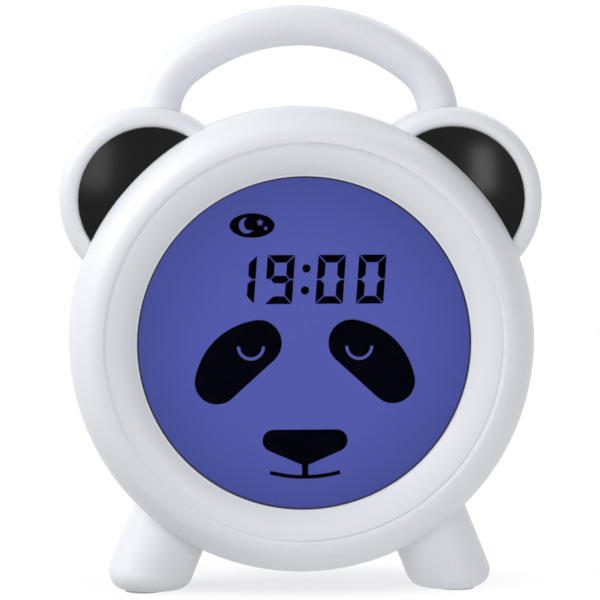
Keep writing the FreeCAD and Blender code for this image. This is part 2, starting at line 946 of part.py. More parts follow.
def make_button_channels(body):
    for x, side in both_sides("button_across"):
        sketch = face_sketch(body, f"channel_back_{side}_sketch", "recess_inner", x)
        draw(
            sketch,
            slot_points("(recess_half + 1.6)", "(button_pitch + recess_half + 1.6)"),
        )
        length = "back_wall + 0.5 - recess_inner"
        feature(body, "Pad", "channel_back_" + side, sketch, length, True)
        sketch = face_sketch(body, f"channel_{side}_sketch", "recess_floor", x)
        draw(sketch, slot_points("recess_half", "(button_pitch + recess_half)"))
        feature(body, "Pocket", "channel_" + side, sketch, "recess_depth + 1")
        holes = [("button_hole", x, f"{n}*button_pitch") for n in (-1, 0, 1)]
        plate(
            body,
            "button_holes_" + side,
            "recess_inner - 1",
            "recess_floor + 1",
            *holes,
            cut=True,
        )
        posts = [("2.6", x, f"{n}*button_pitch") for n in (-0.5, 0.5)]
        plate(body, "board_posts_" + side, "side_board_y", "recess_inner + 0.5", *posts)
        pilots = [("small_screw_radius + 0.05",) + post[1:] for post in posts]
        plate(
            body,
            "board_pilots_" + side,
            "side_board_y - 1",
            "side_board_y + small_screw_length",
            *pilots,
            cut=True,
        )
    plate(
        body,
        "socket_way",
        "back_wall - 1",
        "back_depth + 1",
        rounded_points(
            "(socket_across - socket_width/2 - fit_gap)",
            "(socket_across + socket_width/2 + fit_gap)",
            "(-socket_drop - socket_height/2 - fit_gap)",
            "(-socket_drop + socket_height/2 + fit_gap)",
            "(socket_height/2 - 0.2)",
        ),
        cut=True,
    )


def make_bezel():
    body = new_body("bezel_ring")
    turned(
        body,
        "section",
        [
            ("bezel_radius", "bezel_flange_y"),
            ("bezel_radius", "bezel_y + bezel_edge_round"),
            ("bezel_top_r", "bezel_y", "-bezel_edge_round"),
            ("window_radius", "bezel_end_y", "-bezel_roll"),
            ("window_radius", "lens_seat_y"),
            ("lens_radius + fit_gap", "lens_seat_y"),
            ("lens_radius + fit_gap", "glass_y - close_gap"),
            ("lens_radius + fit_gap + bezel_wall", "glass_y - close_gap"),
            ("lens_radius + fit_gap + bezel_wall", "bezel_y + bezel_wall + 0.6"),
            ("bezel_radius - bezel_wall", "bezel_y + bezel_wall"),
            ("bezel_radius - bezel_wall", "bezel_flange_y + flange_thickness"),
            ("flange_radius", "bezel_flange_y + flange_thickness"),
            ("flange_radius", "bezel_flange_y"),
        ],
    )
    return body


def make_display():
    lens = new_body("window_lens")
    plate(lens, "disc", "lens_y", "lens_y + lens_thickness", ("lens_radius", "0", "0"))
    panel = new_body("lcd_panel")
    plate(
        panel, "front_glass", "glass_y", "glass_y + glass_thickness", ("glass_radius", "0", "0")
    )
    chord_x = "sqrt(glass_radius^2 - glass_chord^2)"
    cut_disc = [
        (minus(chord_x), minus("glass_chord")),
        (chord_x, minus("glass_chord")),
        ("glass_radius", "0", "glass_radius"),
        ("0", "glass_radius", "glass_radius"),
        (minus("glass_radius"), "0", "glass_radius"),
        (minus(chord_x), minus("glass_chord"), "glass_radius"),
    ][:-1]
    outline = cut_disc[1:] + [(cut_disc[0][0], cut_disc[0][1], "glass_radius")]
    plate(panel, "rear_glass", "glass_y + glass_thickness", "glass_end_y", outline)
    spread = new_body("diffuser")
    plate(
        spread, "sheet", "diffuser_y", "diffuser_y + diffuser_thickness", outline
    )
    pins = new_body("lcd_pins", several=True)
    half = number("pin_rows - 1") / 2
    rows = []
    for n in range(int(SIZES["pin_rows"])):
        middle = f"{n - half}*pin_pitch"
        rows.append(
            box_points(
                f"{middle} - pin_width/2",
                f"{middle} + pin_width/2",
                "-pin_drop - pin_thickness/2",
                "-pin_drop + pin_thickness/2",
            )
        )
    plate(
        pins, "row", "glass_y + glass_thickness + 0.05", "board_back_y + 0.6", *rows
    )


def ring_places(circle):
    return [(circle, "0"), (minus(circle), "0"), ("0", circle), ("0", minus(circle))]


def corner_places(step):
    return [(x, z) for x in (step, minus(step)) for z in (step, minus(step))]


def make_light_box():
    """The white box behind the display, which the night light's LEDs shine into."""
    body = new_body("light_box")
    turned(
        body,
        "section",
        [
            ("box_inner_radius", "box_ledge_y"),
            ("box_pocket", "box_ledge_y"),
            ("box_pocket", "glass_y + 0.3"),
            ("box_outer", "glass_y + 0.3"),
            ("box_outer", "box_flange_y"),
            ("flange_radius", "box_flange_y"),
            ("flange_radius", "box_flange_end"),
            ("box_outer", "box_flange_end"),
            ("box_outer", "board_back_y + 0.4"),
            ("box_pocket", "board_back_y + 0.4"),
            ("box_pocket", "board_y"),
            ("box_inner_radius", "board_y"),
        ],
    )
    reach = "box_boss_circle"
    lug = "(box_boss_radius - 0.2)"
    for x, z in ring_places(reach):
        name = "lug_" + str(ring_places(reach).index((x, z)))
        along_x = z == "0"
        sign = "-" if "-" in (x if along_x else z) else ""
        near, far = f"{sign}(flange_radius - 2)", f"{sign}{reach}"
        low, high = (far, near) if sign else (near, far)
        bar = (
            box_points(low, high, minus(lug), lug)
            if along_x
            else box_points(minus(lug), lug, low, high)
        )
        plate(body, name + "_bar", "box_flange_y", "box_flange_end", bar)
        plate(body, name, "box_flange_y", "box_flange_end", (lug, x, z))
    holes = [("small_screw_radius + close_gap", x, z) for x, z in ring_places(reach)]
    plate(body, "lug_holes", "box_flange_y - 1", "box_flange_end + 1", *holes, cut=True)
    posts = corner_places("board_post_step")
    plate(
        body,
        "posts",
        "box_ledge_y",
        "board_y",
        *[("board_post_radius", x, z) for x, z in posts],
    )
    plate(
        body,
        "post_pilots",
        "board_back_y - small_screw_length - 0.3",
        "board_y + 1",
        *[("small_screw_radius + 0.05", x, z) for x, z in posts],
        cut=True,
    )
    return body


def make_main_board():
    board = new_body("main_board")
    plate(board, "disc", "board_y", "board_back_y", ("glass_radius", "0", "0"))
    holes = [
        ("small_screw_radius + close_gap", x, z)
        for x, z in corner_places("board_post_step")
    ]
    plate(board, "holes", "board_y - 1", "board_back_y + 1", *holes, cut=True)
    reach = "(pin_rows*pin_pitch/2 + 0.5)"
    plate(
        board,
        "pin_slot",
        "board_y - 1",
        "board_back_y + 1",
        box_points(minus(reach), reach, "-pin_drop - 0.6", "-pin_drop + 0.6"),
        cut=True,
    )
    leds = new_body("night_light_leds", several=True)
    for n in range(int(SIZES["led_count"])):
        angle = 360 * (n + 0.5) / SIZES["led_count"]
        x, z = f"led_circle*cos({angle})", f"led_circle*sin({angle})"
        led_block(leds, f"led_{n}", x, z)
    led_block(leds, "led_middle", "0", "0")
    chips = new_body("microcontroller", several=True)
    board_block(chips, "chip", "-20", "-8", "2", "14", "1.6")
    board_block(chips, "crystal", "-20", "-9", "-10", "-5.5", "3.4")
    board_block(chips, "driver", "-36", "-30", "8", "18", "1.6")
    capacitors = new_body("capacitors", several=True)
    for n, x in enumerate(("14", "23")):
        turned(
            capacitors,
            f"can_{n}",
            [
                ("0", "board_back_y + 0.05"),
                ("3.2", "board_back_y + 0.05"),
                ("3.2", "board_back_y + 6.4"),
                ("2.8", "board_back_y + 7"),
                ("0", "board_back_y + 7"),
            ],
            x=x,
            z="12",
        )
    plugs = new_body("board_connectors", several=True)
    board_block(plugs, "speaker_plug", "4", "12", "-8", "-3", "5")
    board_block(plugs, "battery_plug", "16", "24", "-8", "-3", "5")
    board_block(plugs, "left_strip", "-44", "-40", "-12", "4", "3")
    board_block(plugs, "right_strip", "40", "44", "-12", "4", "3")


def led_block(body, name, x, z):
    plate(
        body,
        name,
        "board_y - 0.05 - led_height",
        "board_y - 0.05",
        box_points(
            f"{x} - led_size/2",
            f"{x} + led_size/2",
            f"{z} - led_size/2",
            f"{z} + led_size/2",
        ),
    )
    plate(
        body,
        name + "_window",
        "board_y - 1 - led_height",
        "board_y - led_height + 0.35",
        ("led_size*0.36", x, z),
        cut=True,
    )


def board_block(body, name, left, right, low, high, height):
    plate(
        body,
        name,
        "board_back_y + 0.05",
        f"board_back_y + 0.05 + {height}",
        box_points(left, right, low, high),
    )


def make_small_screws():
    boxes = new_body("light_box_screws", several=True)
    for n, (x, z) in enumerate(ring_places("box_boss_circle")):
        small_screw(boxes, n, "box_flange_end", -1, x, z)
    boards = new_body("main_board_screws", several=True)
    for n, (x, z) in enumerate(corner_places("board_post_step")):
        small_screw(boards, n, "board_back_y", -1, x, z)
    sides = new_body("button_board_screws", several=True)
    places = [(x, f"{n}*button_pitch") for x, _ in both_sides("button_across") for n in (-0.5, 0.5)]
    for n, (x, z) in enumerate(places):
        small_screw(sides, n, "side_board_front", 1, x, z)
    clamps = new_body("speaker_screws", several=True)
    places = [
        ("0", "speaker_rise + clamp_circle"),
        ("post_across", "speaker_rise - post_drop"),
        (minus("post_across"), "speaker_rise - post_drop"),
    ]
    for n, (x, z) in enumerate(places):
        screw(
            clamps,
            f"screw_{n}",
            "(clamp_y - clamp_thickness)",
            1,
            "small_screw_radius",
            "clamp_thickness + 2",
            "small_head_radius",
            "small_head",
            x,
            z,
        )


def small_screw(body, n, seat, way, x, z):
    screw(
        body,
        f"screw_{n}",
        f"({seat})",
        way,
        "small_screw_radius",
        "small_screw_length",
        "small_head_radius",
        "small_head",
        x,
        z,
    )


def make_shell_screws():
    body = new_body("shell_screws", several=True)
    places = [(x, "ear_screw_z") for x, _ in both_sides("ear_screw_x")]
    places += [(x, minus("low_screw_drop")) for x, _ in both_sides("low_screw_across")]
    for n, (x, z) in enumerate(places):
        screw(
            body,
            f"screw_{n}",
            "(shell_seat)",
            -1,
            "shell_screw_radius",
            "shell_screw_length",
            "shell_head_radius",
            "shell_head",
            x,
            z,
        )


def make_ear_insert(x, side):
    """The black inlay of an ear: a low dome, cut away where the ring passes over it."""
    body = new_body("ear_insert_" + side)
    edge = "(insert_radius - close_gap)"
    face = "(ear_front_depth - 0.9)"
    dome = f"(({edge}^2 + insert_dome^2)/(2*insert_dome))"
    turned(
        body,
        "dome",
        [
            ("0", "-(ear_front_depth - insert_sink) - 0.1"),
            ("0", f"-{face} - insert_dome"),
            (edge, minus(face), dome),
            (edge, "-(ear_front_depth - insert_sink) - 0.1"),
        ],
        x=x,
        z="ear_rise",
    )
    turned(
        body,
        "ring_side",
        box_points("0", "body_radius + close_gap", "-front_depth", "0"),
        cut=True,
    )
    return body


def half_tube(sketch, way):
    """Half a tube's section, on the front (way -1) or back (way 1) of the parting plane.
    The sketch's x is across the bar and its y is the clock's Y."""
    outer, inner = "handle_bar_radius", "(handle_bar_radius - handle_wall)"
    turn = "" if way > 0 else "-"
    back = "-" if way > 0 else ""
    draw(
        sketch,
        [
            (outer, "0"),
            ("0", f"{way}*{outer}", turn + outer),
            (minus(outer), "0", turn + outer),
            (minus(inner), "0"),
            ("0", f"{way}*{inner}", back + inner),
            (inner, "0", back + inner),
        ],
    )


def make_handle_half(label, way):
    """One half of the handle, split along the middle of the bar, with flanged roots that
    the two shells trap inside the ears."""
    body = new_body(label)
    path = face_sketch(body, "path")
    meet = FreeCAD.Vector(number("handle_meet_x"), number("handle_meet_z"), 0)
    spots = {
        name: FreeCAD.Vector(number(x), number(z), 0)
        for name, (x, z) in {
            "left_end": ("-handle_span", "handle_end_z"),
            "left_spring": ("-handle_span", "handle_spring"),
            "right_spring": ("handle_span", "handle_spring"),
            "right_end": ("handle_span", "handle_end_z"),
            "left_centre": ("-handle_side_x", "handle_spring"),
            "right_centre": ("handle_side_x", "handle_spring"),
            "crown_centre": ("0", "handle_crown_z"),
        }.items()
    }
    up = FreeCAD.Vector(0, 0, 1)
    lean = math.atan2(meet.y - spots["right_centre"].y, meet.x - spots["right_centre"].x)
    side, crown = number("handle_side_round"), number("handle_crown_round")
    path.addGeometry(
        [
            Part.LineSegment(spots["left_end"], spots["left_spring"]),
            Part.ArcOfCircle(
                Part.Circle(spots["left_centre"], up, side), math.pi - lean, math.pi
            ),
            Part.ArcOfCircle(
                Part.Circle(spots["crown_centre"], up, crown), lean, math.pi - lean
            ),
            Part.ArcOfCircle(Part.Circle(spots["right_centre"], up, side), 0, lean),
            Part.LineSegment(spots["right_spring"], spots["right_end"]),
        ],
        False,
    )
    joins = ((0, 2, 1, 2), (1, 1, 2, 2), (2, 1, 3, 2), (3, 1, 4, 1))
    path.addConstraint([Sketcher.Constraint("Coincident", *join) for join in joins])
    ties = [
        ("DistanceX", (-1, 1, 0, 1), "-handle_span"),
        ("DistanceY", (-1, 1, 0, 1), "handle_end_z"),
        ("DistanceX", (-1, 1, 0, 2), "-handle_span"),
        ("DistanceY", (-1, 1, 0, 2), "handle_spring"),
        ("DistanceX", (-1, 1, 1, 1), "-handle_meet_x"),
        ("DistanceY", (-1, 1, 1, 1), "handle_meet_z"),
        ("DistanceX", (-1, 1, 2, 1), "handle_meet_x"),
        ("DistanceY", (-1, 1, 2, 1), "handle_meet_z"),
        ("DistanceX", (-1, 1, 4, 1), "handle_span"),
        ("DistanceY", (-1, 1, 4, 1), "handle_spring"),
        ("DistanceX", (-1, 1, 4, 2), "handle_span"),
        ("DistanceY", (-1, 1, 4, 2), "handle_end_z"),
        ("Radius", (1,), "handle_side_round"),
        ("Radius", (2,), "handle_crown_round"),
        ("Radius", (3,), "handle_side_round"),
    ]
    tie(path, ties)
    section = place_sketch(
        body, "section", "XY_Plane", "-handle_span", "0", "handle_end_z"
    )
    half_tube(section, way)
    arch = body.newObject("PartDesign::AdditivePipe", label + "_arch")
    arch.Profile = section
    arch.Spine = (path, ["Edge1", "Edge2", "Edge3", "Edge4", "Edge5"])
    arch.Mode = "Standard"
    arch.Transition = "Transformed"
    path.Visibility = section.Visibility = False
    far = "ear_side_y"
    wide = "(handle_bar_radius + root_flange_lap)"
    low, high = (minus(far), "0") if way < 0 else ("0", far)
    for x, name in both_sides("handle_span"):
        sketch = place_sketch(
            body, name + "_flange_sketch", "XY_Plane", x, "0", "handle_end_z - root_flange"
        )
        draw(sketch, box_points(minus(wide), wide, low, high))
        feature(body, "Pad", name + "_flange", sketch, "root_flange")
    return body


def make_leg(side, name):
    """A hollow leg whose saddle flange is trapped inside the round body."""
    body = new_body(name)
    half_width, half_depth = "(leg_width/2)", "(leg_depth/2)"
    lap = "leg_flange_lap"
    slope = "back_taper/back_straight"
    reach_y = "(leg_depth/2 + leg_flange_lap + 1)"
    flange = leg_sketch(body, "flange_sketch", side, "leg_below")
    draw(flange, slot_points(f"({half_width} + {lap})", f"({half_depth} + {lap})"))
    feature(body, "Pad", "flange", flange, "leg_reach")
    turned(
        body,
        "flange_outside",
        [
            ("front_inner - fit_gap - 0.5", minus(reach_y)),
            ("front_inner - fit_gap", "ring_side_y"),
            ("front_inner - fit_gap", "0"),
            ("back_inner - fit_gap", "0"),
            (f"back_inner - fit_gap - {reach_y}*{slope}", reach_y),
            ("body_radius*2", reach_y),
            ("body_radius*2", minus(reach_y)),
        ],
        cut=True,
    )
    shaft = leg_sketch(body, "shaft_sketch", side)
    draw(shaft, slot_points(half_width, half_depth))
    feature(body, "Pad", "shaft", shaft, "leg_length")
    turned(
        body,
        "flange_inside",
        [
            ("0", minus(reach_y)),
            ("0", reach_y),
            (f"back_inner - fit_gap - leg_wall - {reach_y}*{slope}", reach_y),
            ("back_inner - fit_gap - leg_wall", "0"),
            ("front_inner - fit_gap - leg_wall", "0"),
            ("front_inner - fit_gap - leg_wall", minus(reach_y)),
        ],
        cut=True,
    )
    reach = "(leg_spread + leg_width + 10)"
    floor = "(-centre_height - leg_width)"
    plate(
        body,
        "sole",
        minus(reach_y),
        reach_y,
        box_points(minus(reach), reach, floor, "sole_z"),
        cut=True,
    )
    doc.recompute()
    sole = number("sole_z") + number("centre_height")
    round_off(body, name, sole)
    bore = leg_sketch(body, "bore_sketch", side, "leg_below + sole_thickness + sole_round")
    draw(bore, slot_points(f"({half_width} - leg_wall)", f"({half_depth} - leg_wall)"))
    feature(body, "Pocket", "bore", bore, "leg_reach", True)
    sketch = place_sketch(
        body,
        "pad_seat_sketch",
        "XY_Plane",
        ("-" if side < 0 else "") + "leg_spread",
        "0",
        "sole_z",
    )
    draw(
        sketch,
        slot_points("(pad_width/2 + close_gap)", "(pad_length/2 + close_gap)"),
    )
    depth = "pad_height - pad_proud + 0.05"
    feature(body, "Pocket", "pad_seat", sketch, depth, True)
    return body


def round_off(body, name, sole):
    """Rounds the edge of the sole."""
    shape = body.Shape
    edges = [
        f"Edge{n}"
        for n, edge in enumerate(shape.Edges, start=1)
        if abs(edge.BoundBox.ZMin - sole) < 0.01 and abs(edge.BoundBox.ZMax - sole) < 0.01
    ]
    fillet = body.newObject("PartDesign::Fillet", name + "_round")
    fillet.Base = (body.Group[-2], edges)
    fillet.setExpression("Radius", bound("sole_round"))
    doc.recompute()


def make_foot_pad(side, name):
    body = new_body(name)
    sketch = place_sketch(
        body,
        "sketch",
        "XY_Plane",
        ("-" if side < 0 else "") + "leg_spread",
        "0",
        "-centre_height",
    )
    draw(sketch, slot_points("(pad_width/2)", "(pad_length/2)"))
    feature(body, "Pad", "block", sketch, "pad_height")
    return body


def make_door():
    body = new_body("battery_door")
    plate(
        body,
        "plate",
        "door_y",
        "back_depth",
        rounded_points("-door_half", "door_half", "-door_low", "door_top", "door_corner"),
    )
    radius = "door_boss_radius"
    plate(
        body,
        "tongue",
        "door_y",
        "back_depth",
        [
            (minus(radius), "-door_screw_drop"),
            ("0", f"-(door_screw_drop + {radius})", radius),
            (radius, "-door_screw_drop", radius),
            (radius, "-(door_low - 1)"),
            (minus(radius), "-(door_low - 1)"),
        ],
    )
    plate(
        body,
        "screw_boss",
        "door_y - door_boss_height",
        "door_y",
        (radius, "0", "-door_screw_drop"),
    )
    seat = "back_depth - door_head - 0.4"
    plate(
        body,
        "head_well",
        seat,
        "back_depth + 1",
        ("door_head_radius + 0.2", "0", "-door_screw_drop"),
        cut=True,
    )
    plate(
        body,
        "screw_hole",
        "door_y - door_boss_height - 1",
        "back_depth",
        ("door_screw_radius + 0.2", "0", "-door_screw_drop"),
        cut=True,
    )
    for x, side in both_sides("hook_across"):
        left, right = f"{x} - hook_width/2", f"{x} + hook_width/2"
        low = "-(bay_top + fit_gap + hook_neck)"
        plate(
            body,
            "hook_neck_" + side,
            "hook_top - hook_thickness",
            "door_y",
            box_points(left, right, low, "-(bay_top + fit_gap)"),
        )
        plate(
            body,
            "hook_" + side,
            "hook_top - hook_thickness",
            "hook_top",
            box_points(left, right, low, "door_top + hook_reach"),
        )
        rib = f"{x}*0.8"
        plate(
            body,
            "rib_" + side,
            "cell_y + cell_radius + fit_gap",
            "door_y",
            box_points(f"{rib} - 0.75", f"{rib} + 0.75", "-(bay_low - 3)", "-(bay_top + 4)"),
        )
    for n in range(5):
        height = f"-(bay_low - 6) + {n}*2.4"
        plate(
            body,
            f"grip_{n}",
            "back_depth - 0.5",
            "back_depth + 1",
            box_points("-7", "7", height, f"{height} + 1"),
            cut=True,
        )
    return body


def make_door_screw():
    body = new_body("door_screw")
    screw(
        body,
        "screw",
        "(back_depth - door_head - 0.3)",
        -1,
        "door_screw_radius",
        "door_thickness - door_head - 0.3 + door_boss_height + fit_gap + door_screw_bite",
        "door_head_radius",
        "door_head",
        "0",
        "-door_screw_drop",
    )
    return body


def make_cells():
    body = new_body("battery_cells", several=True)
    for n in range(3):
        end = "(cell_length/2)"
        way = 1 if n % 2 == 0 else -1
        height = f"(-(bay_top + cell_radius + cell_margin) - {n}*cell_pitch)"
        sketch = place_sketch(
            body, f"cell_{n}_sketch", "XY_Plane", "0", "cell_y", height
        )
        outline = [
            (f"-{end}*{way}", "0"),
            (f"-{end}*{way}", "cell_radius - 0.8"),
            (f"-({end} - 0.8)*{way}", "cell_radius"),
            (f"({end} - 1.2)*{way}", "cell_radius"),
            (f"{end}*{way}", "cell_radius - 1.2"),
            (f"{end}*{way}", "nub_radius"),
            (f"({end} + nub_length)*{way}", "nub_radius"),
            (f"({end} + nub_length)*{way}", "0"),
        ]
        draw(sketch, outline)
        cell = body.newObject("PartDesign::Revolution", f"cell_{n}")
        cell.Profile = sketch
        cell.ReferenceAxis = (sketch, ["H_Axis"])
        cell.Angle = 360
        sketch.Visibility = False
    return body


def make_contacts():
    """Bent strips at the ends of the cells: a dimpled plate for each nub and a leaf spring
    for each flat end."""
    body = new_body("battery_contacts", several=True)
    for n in range(3):
        middle = f"(-(bay_top + cell_radius + cell_margin) - {n}*cell_pitch)"
        nub_way = 1 if n % 2 == 0 else -1
        nub_end = "(cell_length/2 + nub_length + 0.05)"
        for way, tip in ((nub_way, nub_end), (-nub_way, "(cell_length/2 + 0.1)")):
            is_leaf = way == -nub_way
            sketch = place_sketch(
                body, f"strip_{n}_{way}_sketch".replace("-", "m"), "XY_Plane", "0", "cell_y", f"{middle} - 4"
            )
            wall = "battery_plate_x"
            lift = "3.4" if is_leaf else "1.6"
            points = [
                (f"{way}*({wall} + 0.3)", "-5"),
                (f"{way}*({wall} + 0.3)", "5"),
                (f"{way}*{wall}", "5"),
                (f"{way}*{tip}", lift),
                (f"{way}*{tip}", f"-{lift}"),
                (f"{way}*({tip} + 0.3)", f"-{lift}"),
                (f"{way}*({tip} + 0.3)", f"{lift} - 0.2"),
                (f"{way}*{wall}", "4.4"),
                (f"{way}*{wall}", "-5"),
            ]
            draw(sketch, points)
            feature(body, "Pad", f"strip_{n}_{way}".replace("-", "m"), sketch, "8")
    return body


def make_speaker():
    rise = "speaker_rise"
    frame = new_body("speaker_frame")
    turned(
        frame,
        "section",
        [
            ("speaker_radius - 2.2", "seat_y - 0.05"),
            ("speaker_radius - 2.2", "seat_y - 1"),
            ("magnet_radius + 0.6", "basket_end + 1"),
            ("3.2", "basket_end + 1"),
            ("3.2", "basket_end"),
            ("magnet_radius + 1.2", "basket_end"),
            ("speaker_radius - 1.2", "rim_y"),
            ("speaker_radius", "rim_y"),
            ("speaker_radius", "seat_y - 0.05"),
        ],
        z=rise,
    )
    magnet = new_body("speaker_magnet")
    turned(
        magnet,
        "section",
        [
            ("0", "basket_end - magnet_height"),
            ("magnet_radius - 0.8", "basket_end - magnet_height"),
            ("magnet_radius", "basket_end - magnet_height + 0.8"),
            ("magnet_radius", "basket_end - 0.05"),
            ("2.9", "basket_end - 0.05"),
            ("2.9", "basket_end + 2.5"),
            ("0", "basket_end + 2.5"),
        ],
        z=rise,
    )
    cone = new_body("speaker_cone")
    turned(
        cone,
        "section",
        [
            ("0", "rim_y - 1.6"),
            ("3.4", "rim_y - 2.6"),
            ("3.4", "basket_end + 3.4"),
            ("3.9", "basket_end + 3.4"),
            ("3.9", "rim_y - 3.4"),
            ("speaker_radius - 4.8", "rim_y - 0.1"),
            ("speaker_radius - 3.6", "rim_y + 0.6"),
            ("speaker_radius - 2.5", "rim_y - 0.1"),
            ("speaker_radius - 2.5", "rim_y + 0.3"),
            ("speaker_radius - 3.6", "rim_y + 0.95"),
            ("speaker_radius - 5", "rim_y + 0.3"),
            ("4", "rim_y - 2.5"),
            ("0", "rim_y - 1.1"),
        ],
        z=rise,
    )
    gasket = new_body("speaker_gasket")
    plate(
        gasket,
        "ring",
        "seat_y",
        "back_wall - 0.05",
        ("speaker_radius - 0.1", "0", rise),
        ("speaker_radius - 2.2", "0", rise),
    )
    clamp = new_body("speaker_clamp")
    start, end = "clamp_y - clamp_thickness", "clamp_y"
    plate(
        clamp,
        "ring",
        start,
        end,
        ("speaker_radius + 0.6", "0", rise),
        ("speaker_radius - 1.1", "0", rise),
    )
    places = [
        ("0", f"{rise} + clamp_circle"),
        ("post_across", f"{rise} - post_drop"),
        (minus("post_across"), f"{rise} - post_drop"),
    ]
    for n, (x, z) in enumerate(places):
        plate(clamp, f"lug_{n}", start, end, ("3.8", x, z))
    holes = [("small_screw_radius + close_gap", x, z) for x, z in places]
    plate(clamp, "holes", f"{start} - 1", f"{end} + 1", *holes, cut=True)


def make_buttons():
    """Six caps, each on its own switch, in two columns on the back."""
    names = {
        "left": ("plus", "minus", "light"),
        "right": ("clock", "alarm", "sleep"),
    }
    switches = new_body("switch_bodies", several=True)
    for x, side in both_sides("button_across"):
        for row, name in enumerate(names[side]):
            z = f"{1 - row}*button_pitch"
            cap = new_body("button_" + name)
            top = "(recess_floor + button_proud)"
            crown = "0.5"
            dome = f"(((button_radius - 0.6)^2 + {crown}^2)/(2*{crown}))"
            turned(
                cap,
                "section",
                [
                    ("0", "plunger_top + 0.05"),
                    ("stem_radius", "plunger_top + 0.05"),
                    ("stem_radius", "flange_end"),
                    ("button_radius + button_flange", "flange_end"),
                    ("button_radius + button_flange", "flange_top"),
                    ("button_radius", "flange_top"),
                    ("button_radius", f"{top} - {crown} - 0.4"),
                    ("button_radius - 0.6", f"{top} - {crown}"),
                    ("0", top, dome),
                ],
                x=x,
                z=z,
            )
            plunger = new_body("plunger_" + name)
            turned(
                plunger,
                "pin",
                box_points("0", "plunger_radius", "switch_top - plunger_sunk", "plunger_top"),
                x=x,
                z=z,
            )
            half = "(switch_side/2)"
            plate(
                switches,
                "switch_" + name,
                "side_board_y + 0.05",
                "switch_top",
                box_points(
                    f"{x} - {half}", f"{x} + {half}", f"{z} - {half}", f"{z} + {half}"
                ),
            )
            plate(
                switches,
                "bore_" + name,
                "switch_top - plunger_sunk - button_travel - 0.3",
                "switch_top + 1",
                ("plunger_radius + 0.1", x, z),
                cut=True,
            )


def make_side_boards():
    for x, side in both_sides("button_across"):
        body = new_body("button_board_" + side)
        half = "(side_board_width/2)"
        plate(
            body,
            "strip",
            "side_board_front",
            "side_board_y",
            box_points(
                f"{x} - {half}",
                f"{x} + {half}",
                "-(button_pitch + 6)",
                "button_pitch + 6",
            ),
        )
        if side == "right":
            plate(
                body,
                "socket_end",
                "side_board_front",
                "side_board_y",
                box_points(
                    "socket_across - socket_width/2 - 1",
                    "socket_across + socket_width/2 + 1",
                    "-(socket_drop + 4)",
                    "-(button_pitch + 5)",
                ),
            )
        holes = [
            ("small_screw_radius + close_gap", x, f"{n}*button_pitch")
            for n in (-0.5, 0.5)
        ]
        plate(
            body, "holes", "side_board_front - 1", "side_board_y + 1", *holes, cut=True
        )


def make_socket():
    """An upright charging socket: a rounded metal shell with its contact tongue inside."""
    body = new_body("charging_socket")

    def ring(inset):
        return rounded_points(
            f"(socket_across - socket_width/2 + {inset})",
            f"(socket_across + socket_width/2 - {inset})",
            f"(-socket_drop - socket_height/2 + {inset})",
            f"(-socket_drop + socket_height/2 - {inset})",
            f"(socket_height/2 - 0.2 - {inset})",
        )

    plate(body, "shell", "side_board_y + 0.05", "socket_mouth", ring("0"))
    plate(
        body,
        "mouth",
        "side_board_y + 4",
        "socket_mouth + 1",
        ring("socket_wall"),
        cut=True,
    )
    plate(
        body,
        "tongue",
        "side_board_y + 3",
        "socket_mouth - 0.8",
        box_points(
            "socket_across - socket_width/2 + 1.3",
            "socket_across + socket_width/2 - 1.3",
            "-socket_drop - 0.35",
            "-socket_drop + 0.35",
        ),
    )
    return body


def main():
    make_front_shell()
    make_rear_shell()
    make_bezel()
    make_display()
    make_light_box()
    make_main_board()
    make_small_screws()
    make_shell_screws()
    for x, side in both_sides("ear_across"):
        make_ear_insert(x, side)
    make_handle_half("handle_front", -1)
    make_handle_half("handle_rear", 1)
    for side, name in ((-1, "left"), (1, "right")):
        make_leg(side, "leg_" + name)
        make_foot_pad(side, "foot_pad_" + name)
    make_door()
    make_door_screw()
    make_cells()
    make_contacts()
    make_speaker()
    make_buttons()
    make_side_boards()
    make_socket()
    doc.recompute()
    save()


def save():
    """Stops on a failed feature or solid, then writes each sub-part."""
    faulty = [o.Label for o in doc.Objects if {"Invalid", "Error"} & set(o.State)]
    if faulty:
        raise RuntimeError(f"did not rebuild: {faulty}")
    os.makedirs("parts", exist_ok=True)
    bodies = [item for item in doc.Objects if item.TypeId == "PartDesign::Body"]
    hollow = [b.Label for b in bodies if b.Shape.isNull() or not b.Shape.isValid()]
    if hollow:
        raise RuntimeError(f"no valid solid: {hollow}")
    for body in bodies:
        body.Shape.exportStep(os.path.join("parts", body.Label + ".step"))
    print(len(bodies), "sub-parts")


main()
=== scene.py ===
import math

import bpy
import numpy as np
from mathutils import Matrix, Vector


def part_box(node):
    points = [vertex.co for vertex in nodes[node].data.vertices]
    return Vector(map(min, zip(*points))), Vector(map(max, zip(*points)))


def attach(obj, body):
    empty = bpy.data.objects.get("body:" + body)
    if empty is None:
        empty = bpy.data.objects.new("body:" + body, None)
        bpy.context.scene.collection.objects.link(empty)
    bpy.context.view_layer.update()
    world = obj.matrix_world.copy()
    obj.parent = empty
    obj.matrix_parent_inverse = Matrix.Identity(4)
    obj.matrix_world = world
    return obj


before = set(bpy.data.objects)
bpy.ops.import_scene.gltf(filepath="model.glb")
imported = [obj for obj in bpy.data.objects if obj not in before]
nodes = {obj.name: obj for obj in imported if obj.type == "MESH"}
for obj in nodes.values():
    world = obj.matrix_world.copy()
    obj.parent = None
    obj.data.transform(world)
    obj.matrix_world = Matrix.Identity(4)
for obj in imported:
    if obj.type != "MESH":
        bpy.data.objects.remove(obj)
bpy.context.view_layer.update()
mm = 0.001
buttonSigns = ("plus", "minus", "light", "clock", "alarm", "sleep")


def boxOf(node):
    low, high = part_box(node)
    return np.array(low), np.array(high)


lensLow, lensHigh = boxOf("window_lens")
faceMiddle = (lensLow + lensHigh) / 2
panelFront = boxOf("lcd_panel")[0][1]
print("frame loaded:", len(nodes), "nodes")


